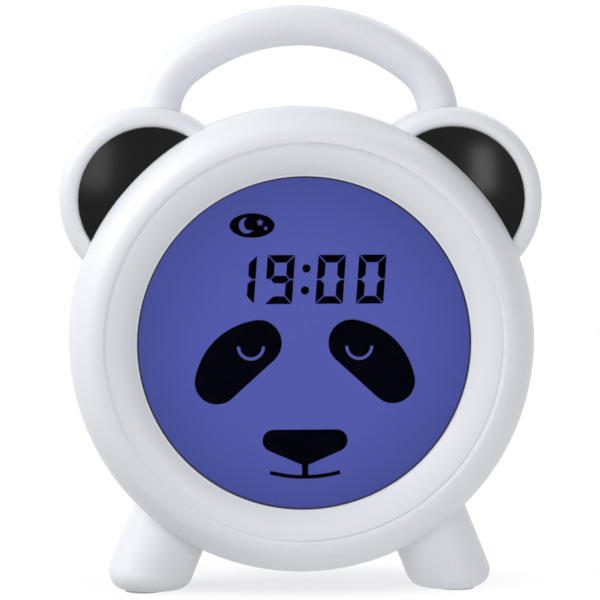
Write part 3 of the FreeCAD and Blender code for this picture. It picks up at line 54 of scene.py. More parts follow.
def screenColour(red, green, blue):
    # a colour as read off a screen, 0 to 255, turned into linear light
    def linear(level):
        level = level / 255
        return level / 12.92 if level <= 0.04045 else ((level + 0.055) / 1.055) ** 2.4

    return (linear(red), linear(green), linear(blue), 1.0)


plainWhite = (1.0, 1.0, 1.0, 1.0)

# Shader nodes. A socket is fed with a plain value or with another node's output.


def feed(tree, value, socket):
    if isinstance(value, bpy.types.NodeSocket):
        tree.links.new(value, socket)
    else:
        socket.default_value = value


def mathNode(tree, operation, *values):
    node = tree.nodes.new("ShaderNodeMath")
    node.operation = operation
    for socket, value in zip(node.inputs, values):
        feed(tree, value, socket)
    return node.outputs[0]


def vectorNode(tree, operation, *values):
    node = tree.nodes.new("ShaderNodeVectorMath")
    node.operation = operation
    for socket, value in zip(node.inputs, values):
        feed(tree, value, socket)
    return node.outputs


def noiseNode(tree, place, scale, detail):
    node = tree.nodes.new("ShaderNodeTexNoise")
    for label, value in (("Vector", place), ("Scale", scale), ("Detail", detail)):
        feed(tree, value, node.inputs[label])
    return node.outputs["Fac"]


def rampNode(tree, value, ends, levels=(0.0, 1.0), curve="LINEAR"):
    # the levels are reached where the value is at the ends
    node = tree.nodes.new("ShaderNodeMapRange")
    node.interpolation_type = curve
    labels = ("Value", "From Min", "From Max", "To Min", "To Max")
    for label, given in zip(labels, (value, *ends, *levels)):
        feed(tree, given, node.inputs[label])
    return node.outputs["Result"]


mixSockets = {"FLOAT": (2, 3, 0), "RGBA": (6, 7, 2)}


def mixNode(tree, kind, share, first, second):
    # a Mix node's sockets for numbers and for colours share their names, so they go by number
    firstInput, secondInput, result = mixSockets[kind]
    node = tree.nodes.new("ShaderNodeMix")
    node.data_type = kind
    feed(tree, share, node.inputs[0])
    feed(tree, first, node.inputs[firstInput])
    feed(tree, second, node.inputs[secondInput])
    return node.outputs[result]


def mixShaders(tree, share, first, second):
    node = tree.nodes.new("ShaderNodeMixShader")
    for socket, value in zip(node.inputs, (share, first, second)):
        tree.links.new(value, socket)
    return node.outputs[0]


# Shader groups: each is built once and placed in the materials with its own values.


def newGroup(name, inputs, outputs):
    group = bpy.data.node_groups.new(name, "ShaderNodeTree")
    for label, kind, value in inputs:
        socket = group.interface.new_socket(label, in_out="INPUT", socket_type=kind)
        socket.default_value = value
    for label, kind in outputs:
        group.interface.new_socket(label, in_out="OUTPUT", socket_type=kind)
    source = group.nodes.new("NodeGroupInput")
    sink = group.nodes.new("NodeGroupOutput")
    return group, source, sink


mould = {
    "flowWaves": 38.0,  # to a metre
    "patches": 14.0,  # to a metre
    "relief": 0.1 * mm,  # the height that a bump of full strength stands for
}


def buildMouldGroup():
    # moulded plastic: slow flow waves and a fine grain as height, soft patches of roughness
    group, source, sink = newGroup(
        "mouldedSkin",
        [
            ("Base Roughness", "NodeSocketFloat", 0.3),
            ("Patchiness", "NodeSocketFloat", 0.06),
            ("Grain Scale", "NodeSocketFloat", 900.0),
            ("Wave Share", "NodeSocketFloat", 0.5),
        ],
        [("Height", "NodeSocketFloat"), ("Roughness", "NodeSocketFloat")],
    )
    place = group.nodes.new("ShaderNodeTexCoord").outputs["Object"]
    grain = noiseNode(group, place, source.outputs["Grain Scale"], detail=2.0)
    wave = noiseNode(group, place, mould["flowWaves"], detail=1.0)
    height = mixNode(group, "FLOAT", source.outputs["Wave Share"], grain, wave)
    group.links.new(height, sink.inputs["Height"])
    spots = noiseNode(group, place, mould["patches"], detail=3.0)
    patch = mathNode(group, "SUBTRACT", spots, 0.5)
    rough = mathNode(
        group,
        "MULTIPLY_ADD",
        patch,
        source.outputs["Patchiness"],
        source.outputs["Base Roughness"],
    )
    group.links.new(rough, sink.inputs["Roughness"])
    return group


backlight = {
    "patches": 22.0,  # to a metre
    "wander": 8 * mm,  # how far the noise moves the fall of the light in and out
}


def buildGlowGroup():
    # backlit panel: full light out to an inner radius, then a smooth fall to the rim, and a
    # faint unevenness from the lamps behind it
    group, source, sink = newGroup(
        "panelGlow",
        [
            ("Middle", "NodeSocketVector", (0.0, 0.0, 0.0)),
            ("Centre Colour", "NodeSocketColor", (0.1, 0.1, 0.4, 1.0)),
            ("Rim Colour", "NodeSocketColor", (0.05, 0.05, 0.3, 1.0)),
            ("Start Radius", "NodeSocketFloat", 0.03),
            ("End Radius", "NodeSocketFloat", 0.05),
        ],
        [("Colour", "NodeSocketColor")],
    )
    place = group.nodes.new("ShaderNodeTexCoord").outputs["Object"]
    away = vectorNode(group, "DISTANCE", place, source.outputs["Middle"])["Value"]
    spots = noiseNode(group, place, backlight["patches"], detail=1.0)
    uneven = mathNode(group, "SUBTRACT", spots, 0.5)
    reach = mathNode(group, "MULTIPLY_ADD", uneven, backlight["wander"], away)
    ends = (source.outputs["Start Radius"], source.outputs["End Radius"])
    fall = rampNode(group, reach, ends, curve="SMOOTHSTEP")
    centre, rim = source.outputs["Centre Colour"], source.outputs["Rim Colour"]
    group.links.new(mixNode(group, "RGBA", fall, centre, rim), sink.inputs["Colour"])
    return group


mouldGroup = buildMouldGroup()
glowGroup = buildGlowGroup()


def newMaterial(name, colour, settings=None):
    material = bpy.data.materials.new(name)
    material.use_nodes = True
    shading = material.node_tree.nodes["Principled BSDF"]
    shading.inputs["Base Color"].default_value = colour
    for label, value in (settings or {}).items():
        shading.inputs[label].default_value = value
    return material


def addSkin(material, roughness, strength=0.1, patchiness=0.06, grain=900.0, waves=0.5):
    # the moulded skin on a plain material; grain is to a metre, waves is the slow waves' share
    tree = material.node_tree
    skin = tree.nodes.new("ShaderNodeGroup")
    skin.node_tree = mouldGroup
    skin.inputs["Base Roughness"].default_value = roughness
    skin.inputs["Patchiness"].default_value = patchiness
    skin.inputs["Grain Scale"].default_value = grain
    skin.inputs["Wave Share"].default_value = waves
    bump = tree.nodes.new("ShaderNodeBump")
    bump.inputs["Strength"].default_value = strength
    bump.inputs["Distance"].default_value = mould["relief"]
    shading = tree.nodes["Principled BSDF"]
    tree.links.new(skin.outputs["Height"], bump.inputs["Height"])
    tree.links.new(bump.outputs["Normal"], shading.inputs["Normal"])
    tree.links.new(skin.outputs["Roughness"], shading.inputs["Roughness"])
    return material


# The moulded finishes. Colours are as read off a screen; a value that a row leaves out is the
# one that addSkin gives.

finishes = {
    "whitePlastic": {"colour": (235, 236, 240), "roughness": 0.42},
    "bezelPlastic": {"colour": (235, 236, 240), "roughness": 0.42},
    "innerPlastic": {"colour": (228, 228, 226), "roughness": 0.55, "strength": 0.2},
    "inlayBlack": {
        "colour": (6, 6, 7),
        "roughness": 0.19,
        "specular": 0.17,
        "strength": 0.04,
        "patchiness": 0.03,
    },
    "buttonPlastic": {"colour": (206, 209, 216), "roughness": 0.42, "strength": 0.15},
    "creamPlastic": {"colour": (222, 214, 188), "roughness": 0.5, "strength": 0.2},
    "chipPlastic": {"colour": (30, 30, 32), "roughness": 0.6, "strength": 0.3},
    "padRubber": {
        "colour": (214, 215, 217),
        "roughness": 0.75,
        "strength": 0.5,
        "grain": 1500.0,
    },
    "feltBlack": {"colour": (26, 26, 27), "roughness": 0.95, "strength": 0.9, "grain": 2600.0},
    "conePaper": {"colour": (46, 46, 48), "roughness": 0.8, "strength": 0.7, "grain": 1900.0},
    "ledPlastic": {"colour": (246, 240, 214), "roughness": 0.35, "strength": 0.05},
    "markInk": {"colour": (96, 100, 110), "roughness": 0.55, "strength": 0.2, "grain": 2200.0},
    "segmentInk": {"colour": (0, 0, 5), "roughness": 0.9, "specular": 0.0, "strength": 0.05},
    # painted shadow: the dark band round the window's edge stands for the bezel's shadow on the
    # lens
    "paintedRimShadow": {"colour": (14, 16, 50), "roughness": 0.5, "strength": 0.05},
    "speakerSteel": {"colour": (52, 52, 55), "roughness": 0.45, "strength": 0.2},
}

metals = {
    "screwSteel": {"colour": (0.50, 0.50, 0.51, 1.0), "roughness": 0.34, "grain": 1400.0},
    "tinnedMetal": {"colour": (0.62, 0.62, 0.61, 1.0), "roughness": 0.28, "grain": 1200.0},
    "canMetal": {"colour": (0.70, 0.71, 0.73, 1.0), "roughness": 0.38, "grain": 900.0},
    "magnetGrey": {"colour": (0.32, 0.32, 0.33, 1.0), "roughness": 0.5, "grain": 700.0},
}


def mouldedMaterial(name, colour, roughness, specular=None, **skin):
    settings = {} if specular is None else {"Specular IOR Level": specular}
    return addSkin(newMaterial(name, screenColour(*colour), settings), roughness, **skin)


def metalMaterial(name, colour, roughness, grain):
    # metal with a fine even grain and soft patches of duller polish
    material = newMaterial(name, colour, {"Metallic": 1.0})
    return addSkin(material, roughness, strength=0.12, patchiness=0.12, grain=grain, waves=0.1)


board = {
    "maskColour": screenColour(18, 92, 48),
    "runColour": screenColour(34, 120, 66),
    "runs": 140.0,  # to a metre
    "runWidth": 0.08,  # in the brick pattern's own measure
    "coat": 0.4,
    "roughness": 0.4,
}


def boardMaterial():
    # green mask with paler copper runs under it: the joints of a brick pattern
    material = newMaterial("boardGreen", board["maskColour"], {"Coat Weight": board["coat"]})
    tree = material.node_tree
    place = tree.nodes.new("ShaderNodeTexCoord").outputs["Object"]
    turn = tree.nodes.new("ShaderNodeMapping")
    turn.inputs["Rotation"].default_value = (math.radians(90), 0.0, 0.0)
    tree.links.new(place, turn.inputs["Vector"])
    runs = tree.nodes.new("ShaderNodeTexBrick")
    runs.inputs["Scale"].default_value = board["runs"]
    runs.inputs["Mortar Size"].default_value = board["runWidth"]
    runs.inputs["Color1"].default_value = board["maskColour"]
    runs.inputs["Color2"].default_value = board["maskColour"]
    runs.inputs["Mortar"].default_value = board["runColour"]
    tree.links.new(turn.outputs["Vector"], runs.inputs["Vector"])
    shading = tree.nodes["Principled BSDF"]
    tree.links.new(runs.outputs["Color"], shading.inputs["Base Color"])
    return addSkin(material, board["roughness"])


jacket = {
    "bodyColour": screenColour(38, 66, 120),
    "bandColour": (0.55, 0.56, 0.58, 1.0),
    "middleCell": 7.3 * mm,  # half its height in the column of three
    "bandStart": 12 * mm,
    "metallic": 0.6,
    "roughness": 0.32,
}


def jacketMaterial():
    # the cells' plain jackets: a dark body with a silver band at one end of each, at the
    # other end on the middle cell
    low, high = boxOf("battery_cells")
    settings = {"Metallic": jacket["metallic"]}
    material = newMaterial("cellJacket", jacket["bodyColour"], settings)
    tree = material.node_tree
    place = tree.nodes.new("ShaderNodeTexCoord").outputs["Object"]
    parts = tree.nodes.new("ShaderNodeSeparateXYZ")
    tree.links.new(place, parts.inputs["Vector"])
    fromMiddle = mathNode(tree, "SUBTRACT", parts.outputs["Z"], (low[2] + high[2]) / 2)
    away = mathNode(tree, "ABSOLUTE", fromMiddle)
    isOuter = mathNode(tree, "GREATER_THAN", away, jacket["middleCell"])
    side = mathNode(tree, "MULTIPLY_ADD", isOuter, 2.0, -1.0)
    along = mathNode(tree, "MULTIPLY", parts.outputs["X"], side)
    band = mathNode(tree, "GREATER_THAN", along, jacket["bandStart"])
    paint = mixNode(tree, "RGBA", band, jacket["bodyColour"], jacket["bandColour"])
    tree.links.new(paint, tree.nodes["Principled BSDF"].inputs["Base Color"])
    return addSkin(material, jacket["roughness"], strength=0.05)


displayLook = {
    "centreColour": screenColour(82, 90, 174),
    "rimColour": screenColour(70, 78, 155),
    "unlitColour": screenColour(8, 9, 22),
    "startRadius": 24 * mm,
    "endRadius": 52 * mm,
    "emission": 0.92,
    "roughness": 0.6,
    "specular": 0.1,
}


def panelMaterial():
    # dark glass lit from behind; most of its look is the glow
    settings = {
        "Roughness": displayLook["roughness"],
        "Specular IOR Level": displayLook["specular"],
    }
    material = newMaterial("panelBlue", displayLook["unlitColour"], settings)
    tree = material.node_tree
    glow = tree.nodes.new("ShaderNodeGroup")
    glow.node_tree = glowGroup
    glow.inputs["Middle"].default_value = (faceMiddle[0], panelFront, faceMiddle[2])
    glow.inputs["Centre Colour"].default_value = displayLook["centreColour"]
    glow.inputs["Rim Colour"].default_value = displayLook["rimColour"]
    glow.inputs["Start Radius"].default_value = displayLook["startRadius"]
    glow.inputs["End Radius"].default_value = displayLook["endRadius"]
    shading = tree.nodes["Principled BSDF"]
    tree.links.new(glow.outputs["Colour"], shading.inputs["Emission Color"])
    shading.inputs["Emission Strength"].default_value = displayLook["emission"]
    return material


window = {
    "tint": (0.97, 0.97, 1.0, 1.0),
    "index": 1.06,  # it hardly bends the light, so the display isn't shifted or doubled
}


def windowMaterial():
    settings = {"Transmission Weight": 1.0, "Roughness": 0.0, "IOR": window["index"]}
    return newMaterial("windowClear", window["tint"], settings)


paints = {name: mouldedMaterial(name, **look) for name, look in finishes.items()}
paints.update({name: metalMaterial(name, **look) for name, look in metals.items()})
paints["boardGreen"] = boardMaterial()
paints["cellJacket"] = jacketMaterial()
paints["panelBlue"] = panelMaterial()
paints["windowClear"] = windowMaterial()

dressing = {
    "whitePlastic": [
        "front_shell",
        "rear_shell",
        "handle_front",
        "handle_rear",
        "leg_left",
        "leg_right",
        "battery_door",
    ],
    "bezelPlastic": ["bezel_ring"],
    "windowClear": ["window_lens"],
    "panelBlue": ["lcd_panel"],
    "inlayBlack": ["ear_insert_left", "ear_insert_right"],
    "innerPlastic": ["light_box", "diffuser", "speaker_clamp"],
    "screwSteel": [
        "shell_screws",
        "door_screw",
        "light_box_screws",
        "main_board_screws",
        "button_board_screws",
        "speaker_screws",
    ],
    "tinnedMetal": ["lcd_pins", "battery_contacts", "charging_socket"],
    "boardGreen": ["main_board", "button_board_left", "button_board_right"],
    "ledPlastic": ["night_light_leds"],
    "chipPlastic": ["microcontroller", "switch_bodies"],
    "canMetal": ["capacitors"],
    "creamPlastic": ["board_connectors"] + ["plunger_" + sign for sign in buttonSigns],
    "buttonPlastic": ["button_" + sign for sign in buttonSigns],
    "padRubber": ["foot_pad_left", "foot_pad_right"],
    "cellJacket": ["battery_cells"],
    "speakerSteel": ["speaker_frame"],
    "magnetGrey": ["speaker_magnet"],
    "conePaper": ["speaker_cone"],
    "feltBlack": ["speaker_gasket"],
}
for finish, names in dressing.items():
    for name in names:
        nodes[name].data.materials.clear()
        nodes[name].data.materials.append(paints[finish])
print("finishes:", len(bpy.data.materials), "materials on", len(nodes), "nodes")


# Flat marks. Each outline is drawn in millimetres with u to the onlooker's right and v up.


def placeOn(origin, toFront=True):
    # the map from u, v and the height above the surface to the clock's own axes: the origin and
    # the ways of u, v and height
    right = np.array([1.0, 0, 0]) if toFront else np.array([-1.0, 0, 0])
    out = np.array([0, -1.0, 0]) if toFront else np.array([0, 1.0, 0])
    return np.array(origin), right, np.array([0, 0, 1.0]), out


def newPiece(name, mesh, material):
    mesh.materials.append(material)
    piece = bpy.data.objects.new(name, mesh)
    bpy.context.scene.collection.objects.link(piece)
    return piece


def plateFaces(count, start, inStrips):
    # the side walls of a plate with that many corners, its front and its back; in strips, the
    # front runs from both ends of the corner list towards its middle, so it can follow a dome
    ring = np.arange(count)
    after = (ring + 1) % count
    front, back = start + ring, start + count + ring
    walls = np.stack([front, back, back[after], front[after]], axis=1)
    if not inStrips:
        return [front.tolist(), back[::-1].tolist()] + walls.tolist()
    near = ring[: count // 2 - 1]
    strips = np.stack([near, near + 1, count - 2 - near, count - 1 - near], axis=1)
    covers = np.concatenate([start + strips, start + count + strips[:, ::-1]])
    return covers.tolist() + walls.tolist()


def markMesh(name, outlines, place, thickness, material, body, bulge=None):
    # every outline becomes a thin closed plate, its faces at the thickness above and below the
    # ground; bulge gives the ground's height at u and v
    origin, right, up, out = place
    corners, faces, start = [], [], 0
    for outline in outlines:
        outline = np.asarray(outline, dtype=float)
        after = np.roll(outline, -1, axis=0)
        area = np.sum(outline[:, 0] * after[:, 1] - after[:, 0] * outline[:, 1])
        outline = outline if area > 0 else outline[::-1]
        ground = np.zeros(len(outline)) if bulge is None else bulge(outline)
        flat = origin + (outline[:, :1] * right + outline[:, 1:] * up) * mm
        corners.append(flat + (ground + thickness)[:, None] * mm * out)
        corners.append(flat + (ground - thickness)[:, None] * mm * out)
        faces += plateFaces(len(outline), start, bulge is not None)
        start += 2 * len(outline)
    mesh = bpy.data.meshes.new(name)
    mesh.from_pydata(np.concatenate(corners).tolist(), [], faces)
    piece = newPiece(name, mesh, material)
    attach(piece, body)


def circleOutline(u, v, radius, count=48, high=None):
    # u + radius cos t, v + radius sin t, or an ellipse whose half height is high
    turn = np.linspace(0, 2 * np.pi, count, endpoint=False)
    return np.stack([u + radius * np.cos(turn), v + (high or radius) * np.sin(turn)], axis=1)


def hullOutline(discs, count=96):
    # the tight band round several discs: for each direction the furthest disc's edge point
    turn = np.linspace(0, 2 * np.pi, count, endpoint=False)
    way = np.stack([np.cos(turn), np.sin(turn)], axis=1)
    discs = np.asarray(discs, dtype=float)
    reach = way @ discs[:, :2].T + discs[:, 2]
    best = np.argmax(reach, axis=1)
    return discs[best, :2] + discs[best, 2:] * way


def bowedDiscs(first, last, bow, swell, count=9):
    # discs from first to last, pushed sideways and widened most in the middle of the run
    first, last = np.array(first), np.array(last)
    share = np.linspace(0, 1, count)[:, None]
    middle = 4 * share * (1 - share)
    run = last[:2] - first[:2]
    side = np.array([-run[1], run[0]]) / np.linalg.norm(run)
    discs = first + (last - first) * share
    discs[:, :2] += side * middle * bow
    discs[:, 2:] += middle * swell
    return discs


def strokeOutline(path, width):
    # a line of that width along the path, cut square at both ends
    path = np.asarray(path, dtype=float)
    slope = np.gradient(path, axis=0)
    slope /= np.linalg.norm(slope, axis=1, keepdims=True)
    side = np.stack([-slope[:, 1], slope[:, 0]], axis=1) * width / 2
    return np.concatenate([path - side, (path + side)[::-1]])


def arcPath(u, v, radius, start, end, count):
    # u + radius cos t, v + radius sin t, between two angles in degrees
    turn = np.radians(np.linspace(start, end, count))
    return np.stack([u + radius * np.cos(turn), v + radius * np.sin(turn)], axis=1)


def crescentOutline(u, v, radius, bite, shift, count=40, blunt=0.03):
    # the outer circle's long arc and back along the arc of a second circle that bites it; the
    # second arc ends that angle, in radians, before the tips, which blunts them
    away = math.hypot(*shift)
    lean = math.atan2(shift[1], shift[0])
    along = (radius**2 - bite**2 + away**2) / (2 * away)
    outer = math.acos(along / radius)
    inner = math.acos((along - away) / bite)
    longArc = lean + np.linspace(outer, 2 * np.pi - outer, count)
    shortArc = lean + np.linspace(2 * np.pi - inner - blunt, inner + blunt, count)
    first = np.stack([np.cos(longArc), np.sin(longArc)], axis=1) * radius
    second = np.stack([np.cos(shortArc), np.sin(shortArc)], axis=1) * bite + shift
    return np.concatenate([first, second]) + (u, v)


def starOutline(u, v, radius, points=5, waist=0.45):
    # corners at even angles, every second one at the waist's share of the radius, one on top
    turn = np.linspace(0, 2 * np.pi, 2 * points, endpoint=False) + np.pi / 2
    reach = np.where(np.arange(2 * points) % 2 == 0, radius, radius * waist)
    return np.stack([u + reach * np.cos(turn), v + reach * np.sin(turn)], axis=1)


# The display. Places are counted from the middle of the window.

display = {
    "digitHeight": 14.5,
    "digitWidth": 8.15,
    "stroke": 2.3,
    "segmentGap": 0.16,
    "slant": 4.0,  # degrees
    "digitFoot": 11.5,
    "rightEdges": (-14.3, -3.1, 11.9, 23.9),
    "shown": "1900",
    "colonPlaces": ((0.7, 22.0), (0.25, 15.5)),
    "colonRadius": 1.25,
    "moonSpot": (-15.3, 34.7),
    "moonSpotSize": (6.65, 3.62),  # half its width and height
    "crescent": (-1.6, 0.0, 2.3),  # place and radius, counted from the middle of the spot
    "crescentBite": (2.0, (1.15, 0.55)),  # radius and place, counted from the crescent's middle
    "stars": ((2.3, 0.9, 1.15), (4.0, -0.8, 0.75)),  # as for the crescent
    "faceShift": 0.3,
    "patchEnds": ((13.8, 0.0, 6.9), (26.0, -11.5, 6.6)),  # place and radius of each end's disc
    "patchBow": 2.3,
    "patchSwell": 0.4,
    "lidPlace": (16.0, -1.0),
    "lidRadius": 3.7,
    "lidStroke": 0.85,
    "noseDiscs": ((-9.3, -29.0, 3.3), (9.3, -29.0, 3.3), (0.0, -33.4, 3.0)),
    "stemWidth": 1.9,
    "stemFoot": -39.3,
    "mouthLevel": -39.8,
    "mouthHalf": 10.4,
    "mouthCurve": 40.0,
    "mouthStroke": 1.15,
    "inkLift": 0.03,
    "glowLift": 0.07,
}

segmentsOf = {"0": "abcdef", "1": "bc", "9": "abcdfg"}


def digitOutlines(figure, rightEdge):
    # seven bars with mitred ends in an upright cell, then leaned by the slant
    wide, high = display["digitWidth"], display["digitHeight"]
    bar, gap = display["stroke"], display["segmentGap"]
    half = high / 2
    top = [
        (bar + gap, high - bar),
        (wide - bar - gap, high - bar),
        (wide - gap, high),
        (gap, high),
    ]
    upperRight = [
        (wide, half + gap),
        (wide, high - gap),
        (wide - bar, high - bar - gap),
        (wide - bar, half + bar / 2 + gap),
        (wide - bar / 2, half + gap),
    ]
    middle = [
        (bar / 2 + gap, half),
        (bar + gap, half - bar / 2),
        (wide - bar - gap, half - bar / 2),
        (wide - bar / 2 - gap, half),
        (wide - bar - gap, half + bar / 2),
        (bar + gap, half + bar / 2),
    ]
    top, upperRight, middle = map(np.array, (top, upperRight, middle))
    flip, turnOver = np.array([-1.0, 1.0]), np.array([1.0, -1.0])
    bars = {
        "a": top,
        "b": upperRight,
        "c": upperRight * turnOver + (0, high),
        "d": top * turnOver + (0, high),
        "e": upperRight * flip * turnOver + (wide, high),
        "f": upperRight * flip + (wide, 0),
        "g": middle,
    }
    lean = math.tan(math.radians(display["slant"]))
    outlines = []
    for key in segmentsOf[figure]:
        outline = bars[key].copy()
        outline[:, 0] += (outline[:, 1] - half) * lean + rightEdge - wide
        outline[:, 1] += display["digitFoot"]
        outlines.append(outline)
    return outlines


def clockMarks():
    ink = []
    for figure, edge in zip(display["shown"], display["rightEdges"]):
        ink += digitOutlines(figure, edge)
    return ink + [circleOutline(u, v, display["colonRadius"]) for u, v in display["colonPlaces"]]


def moonMarks():
    # a dark oval, and on it a lit crescent and stars
    middleU, middleV = display["moonSpot"]
    wide, high = display["moonSpotSize"]
    u, v, radius = display["crescent"]
    glow = [crescentOutline(middleU + u, middleV + v, radius, *display["crescentBite"])]
    glow += [starOutline(middleU + u, middleV + v, radius) for u, v, radius in display["stars"]]
    return [circleOutline(middleU, middleV, wide, 72, high)], glow


def faceMarks():
    # two leaning patches with a lit lid line each, a nose, a stem and a mouth
    ink, glow = [], []
    shift = display["faceShift"]
    lidU, lidV = display["lidPlace"]
    for side in (-1, 1):
        patch = bowedDiscs(*display["patchEnds"], display["patchBow"], display["patchSwell"])
        ink.append(hullOutline(patch * (side, 1, 1) + (shift, 0, 0)))
        lid = arcPath(side * lidU + shift, lidV, display["lidRadius"], 180, 360, 30)
        glow.append(strokeOutline(lid, display["lidStroke"]))
    nose = [(u + shift, v, radius) for u, v, radius in display["noseDiscs"]]
    ink.append(hullOutline(nose))
    stem = [(shift, nose[2][1]), (shift, display["stemFoot"])]
    ink.append(strokeOutline(stem, display["stemWidth"]))
    curve = display["mouthCurve"]
    spread = math.degrees(math.asin(display["mouthHalf"] / curve))
    middleV = display["mouthLevel"] + curve
    mouth = arcPath(shift, middleV, curve, 270 - spread, 270 + spread, 40)
    ink.append(strokeOutline(mouth, display["mouthStroke"]))
    return ink, glow


def buildDisplay():
    ground = placeOn((faceMiddle[0], panelFront, faceMiddle[2]))
    spot, spotGlow = moonMarks()
    face, faceGlow = faceMarks()
    ink, glow = clockMarks() + spot + face, spotGlow + faceGlow
    lift = display["inkLift"]
    markMesh("displayInk", ink, ground, lift, paints["segmentInk"], "clock")
    lift = display["glowLift"]
    markMesh("displayGlow", glow, ground, lift, paints["panelBlue"], "clock")
    print("display drawn:", len(ink), "dark marks,", len(glow), "lit marks")


buildDisplay()

# Three turned pieces finish the rings. A hollow fillet closes the seam between the outer ring
# and the bezel and leaves both rounded edges along their slope, a fine bead rims the window, and
# a dark line round the edge of the lens is a painted shadow of the bezel. Radii and heights are
# in millimetres, heights to the front.

seam = {
    "bezelRound": (57.79, 26.85, 0.8),  # radius and height of the rounding's centre, its size
    "ringRound": (59.6, 27.05, 0.95),
    "slope": 56.0,  # degrees
    "proud": 0.008,  # it stands this far off the two rounded edges
    "buried": ((59.2, 27.2), (58.1, 27.0)),  # radii and heights that close it under the surface
    "across": 13,
    "around": 480,
}

bead = {
    "radius": 49.6,
    "height": 24.08,
    "thickness": 0.62,
    "across": 14,
    "around": 360,
}

# a ring of painted shadow on the lens: the bezel's shadow round the window's edge, drawn as a
# dark band
bezelShadowRing = {
    "radius": 49.05,
    "width": 0.55,
    "lift": 0.03,
    "around": 360,
}


def turnedPiece(name, profile, around, smooth, material):
    # the closed profile is carried round the middle: x = r cos a, z = r sin a, y = -height;
    # smooth says which strips of the profile are shaded round
    count = len(profile)
    turn = np.linspace(0, 2 * np.pi, around, endpoint=False)[:, None]
    radius, height = profile[:, 0] * mm, np.broadcast_to(profile[:, 1] * mm, (around, count))
    across, up = radius * np.cos(turn), radius * np.sin(turn)
    grid = np.stack([faceMiddle[0] + across, -height, faceMiddle[2] + up], axis=2)
    ring, step = np.meshgrid(np.arange(around), np.arange(count), indexing="ij")
    nextRing, nextStep = (ring + 1) % around, (step + 1) % count
    corners = [(ring, step), (ring, nextStep), (nextRing, nextStep), (nextRing, step)]
    faces = np.stack([r * count + s for r, s in corners], axis=2).reshape(-1, 4)
    mesh = bpy.data.meshes.new(name)
    mesh.from_pydata(grid.reshape(-1, 3).tolist(), [], faces.tolist())
    mesh.polygons.foreach_set("use_smooth", np.tile(smooth, around))
    piece = newPiece(name, mesh, material)
    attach(piece, "clock")


def buildSeam():
    # a curve from start to end, drawn towards the middle point where their slopes meet: the
    # three weights are (1-t)^2, t^2 and 2t(1-t)
    slope = math.radians(seam["slope"])
    ends, ways = [], []
    for key, side in (("bezelRound", 1), ("ringRound", -1)):
        radius, height, rounding = seam[key]
        rounding += seam["proud"]
        reach = np.array([side * math.cos(slope), math.sin(slope)]) * rounding
        ends.append(reach + (radius, height))
        ways.append((side * math.sin(slope), -math.cos(slope)))
    start, end = ends
    ways = np.array(ways)
    run = np.linalg.solve(np.stack([ways[0], -ways[1]], axis=1), end - start)
    middle = start + run[0] * ways[0]
    share = np.linspace(0, 1, seam["across"])[:, None]
    front = (1 - share) ** 2 * start + 2 * share * (1 - share) * middle + share**2 * end
    profile = np.concatenate([front, seam["buried"]])
    smooth = np.arange(len(profile)) < seam["across"] - 1
    paint = paints["whitePlastic"]
    turnedPiece("seamFillet", profile, seam["around"], smooth, paint)


def buildBead():
    # a round section: radius + q cos b, height + q sin b, taken clockwise so it faces outwards
    turn = np.linspace(2 * np.pi, 0, bead["across"], endpoint=False)
    section = np.stack([np.cos(turn), np.sin(turn)], axis=1) * bead["thickness"] / 2
    profile = section + (bead["radius"], bead["height"])
    smooth = np.full(bead["across"], True)
    paint = paints["bezelPlastic"]
    turnedPiece("lipBead", profile, bead["around"], smooth, paint)


def buildPaintedRimShadow():
    # a flat band on the front of the lens, painted dark as the bezel's shadow; its section a low
    # oblong taken clockwise
    height = -lensLow[1] / mm
    inner, outer = bezelShadowRing["radius"] + np.array([-1, 1]) * bezelShadowRing["width"] / 2
    low, high = height + np.array([-1, 1]) * bezelShadowRing["lift"]
    profile = np.array([(inner, high), (outer, high), (outer, low), (inner, low)])
    smooth = np.full(len(profile), False)
    paint = paints["paintedRimShadow"]
    turnedPiece("windowRimPaintedShadow", profile, bezelShadowRing["around"], smooth, paint)


buildSeam()
buildBead()
buildPaintedRimShadow()
print("seam closed and window rimmed")

# The signs on the buttons, plain marks in a darker grey that follow each cap's dome.

buttonMarks = {
    "size": 2.1,
    "stroke": 0.5,
    "thickness": 0.03,
    "domeRise": 0.5,  # the cap falls by this much at the dome's reach from its middle
    "domeReach": 4.4,
    "plusGap": 0.3,
    "sunRadius": 1.05,
    "rayPoints": (1.55, 2.0, 2.5),
    "rayStroke": 0.4,
    "rimTurn": 179.5,  # degrees of each half of the clock's rim, so that they stay apart
    "minuteHand": ((0, -0.25), (0, 0.7), (0, 1.3)),
    "hourHand": ((0.27, 0), (0.6, 0), (1.0, 0)),
    "bellCrown": (0.45, 1.25),  # height and radius, as for the clapper
    "bellFlare": ((1.8, -1.3), (1.27, 0.2)),
    "bellFoot": ((-1.75, -1.1), (1.75, -1.1)),
    "clapper": (-2.0, 0.42),
    "moonBite": (1.75, (0.95, 0.5)),  # radius and place of the circle that bites the moon
}


def levelLine():
    # nine points from side to side, so that a stroke can follow the dome
    across = np.linspace(-buttonMarks["size"], buttonMarks["size"], 9)
    return np.stack([across, np.zeros_like(across)], axis=1)


def plusPaths():
    # the level line and a stub above and below it
    upright = levelLine()[:, ::-1]
    gap = buttonMarks["plusGap"]
    return [levelLine(), upright[upright[:, 1] > gap], upright[upright[:, 1] < -gap]]


def clockPaths():
    # the rim in two half turns, and two hands
    size, turn = buttonMarks["size"], buttonMarks["rimTurn"]
    halves = [arcPath(0, 0, size, start, start + turn, 37) for start in (0, 180)]
    return halves + [buttonMarks["minuteHand"], buttonMarks["hourHand"]]


def bellPaths():
    # up one flare, over the crown and down the other flare, and a line along the foot
    height, radius = buttonMarks["bellCrown"]
    crown = arcPath(0, height, radius, 0, 180, 25)
    flare = np.linspace(*buttonMarks["bellFlare"], 7)
    side = np.concatenate([flare, crown, flare[::-1] * (-1, 1)])
    return [side, np.linspace(*buttonMarks["bellFoot"], 9)]


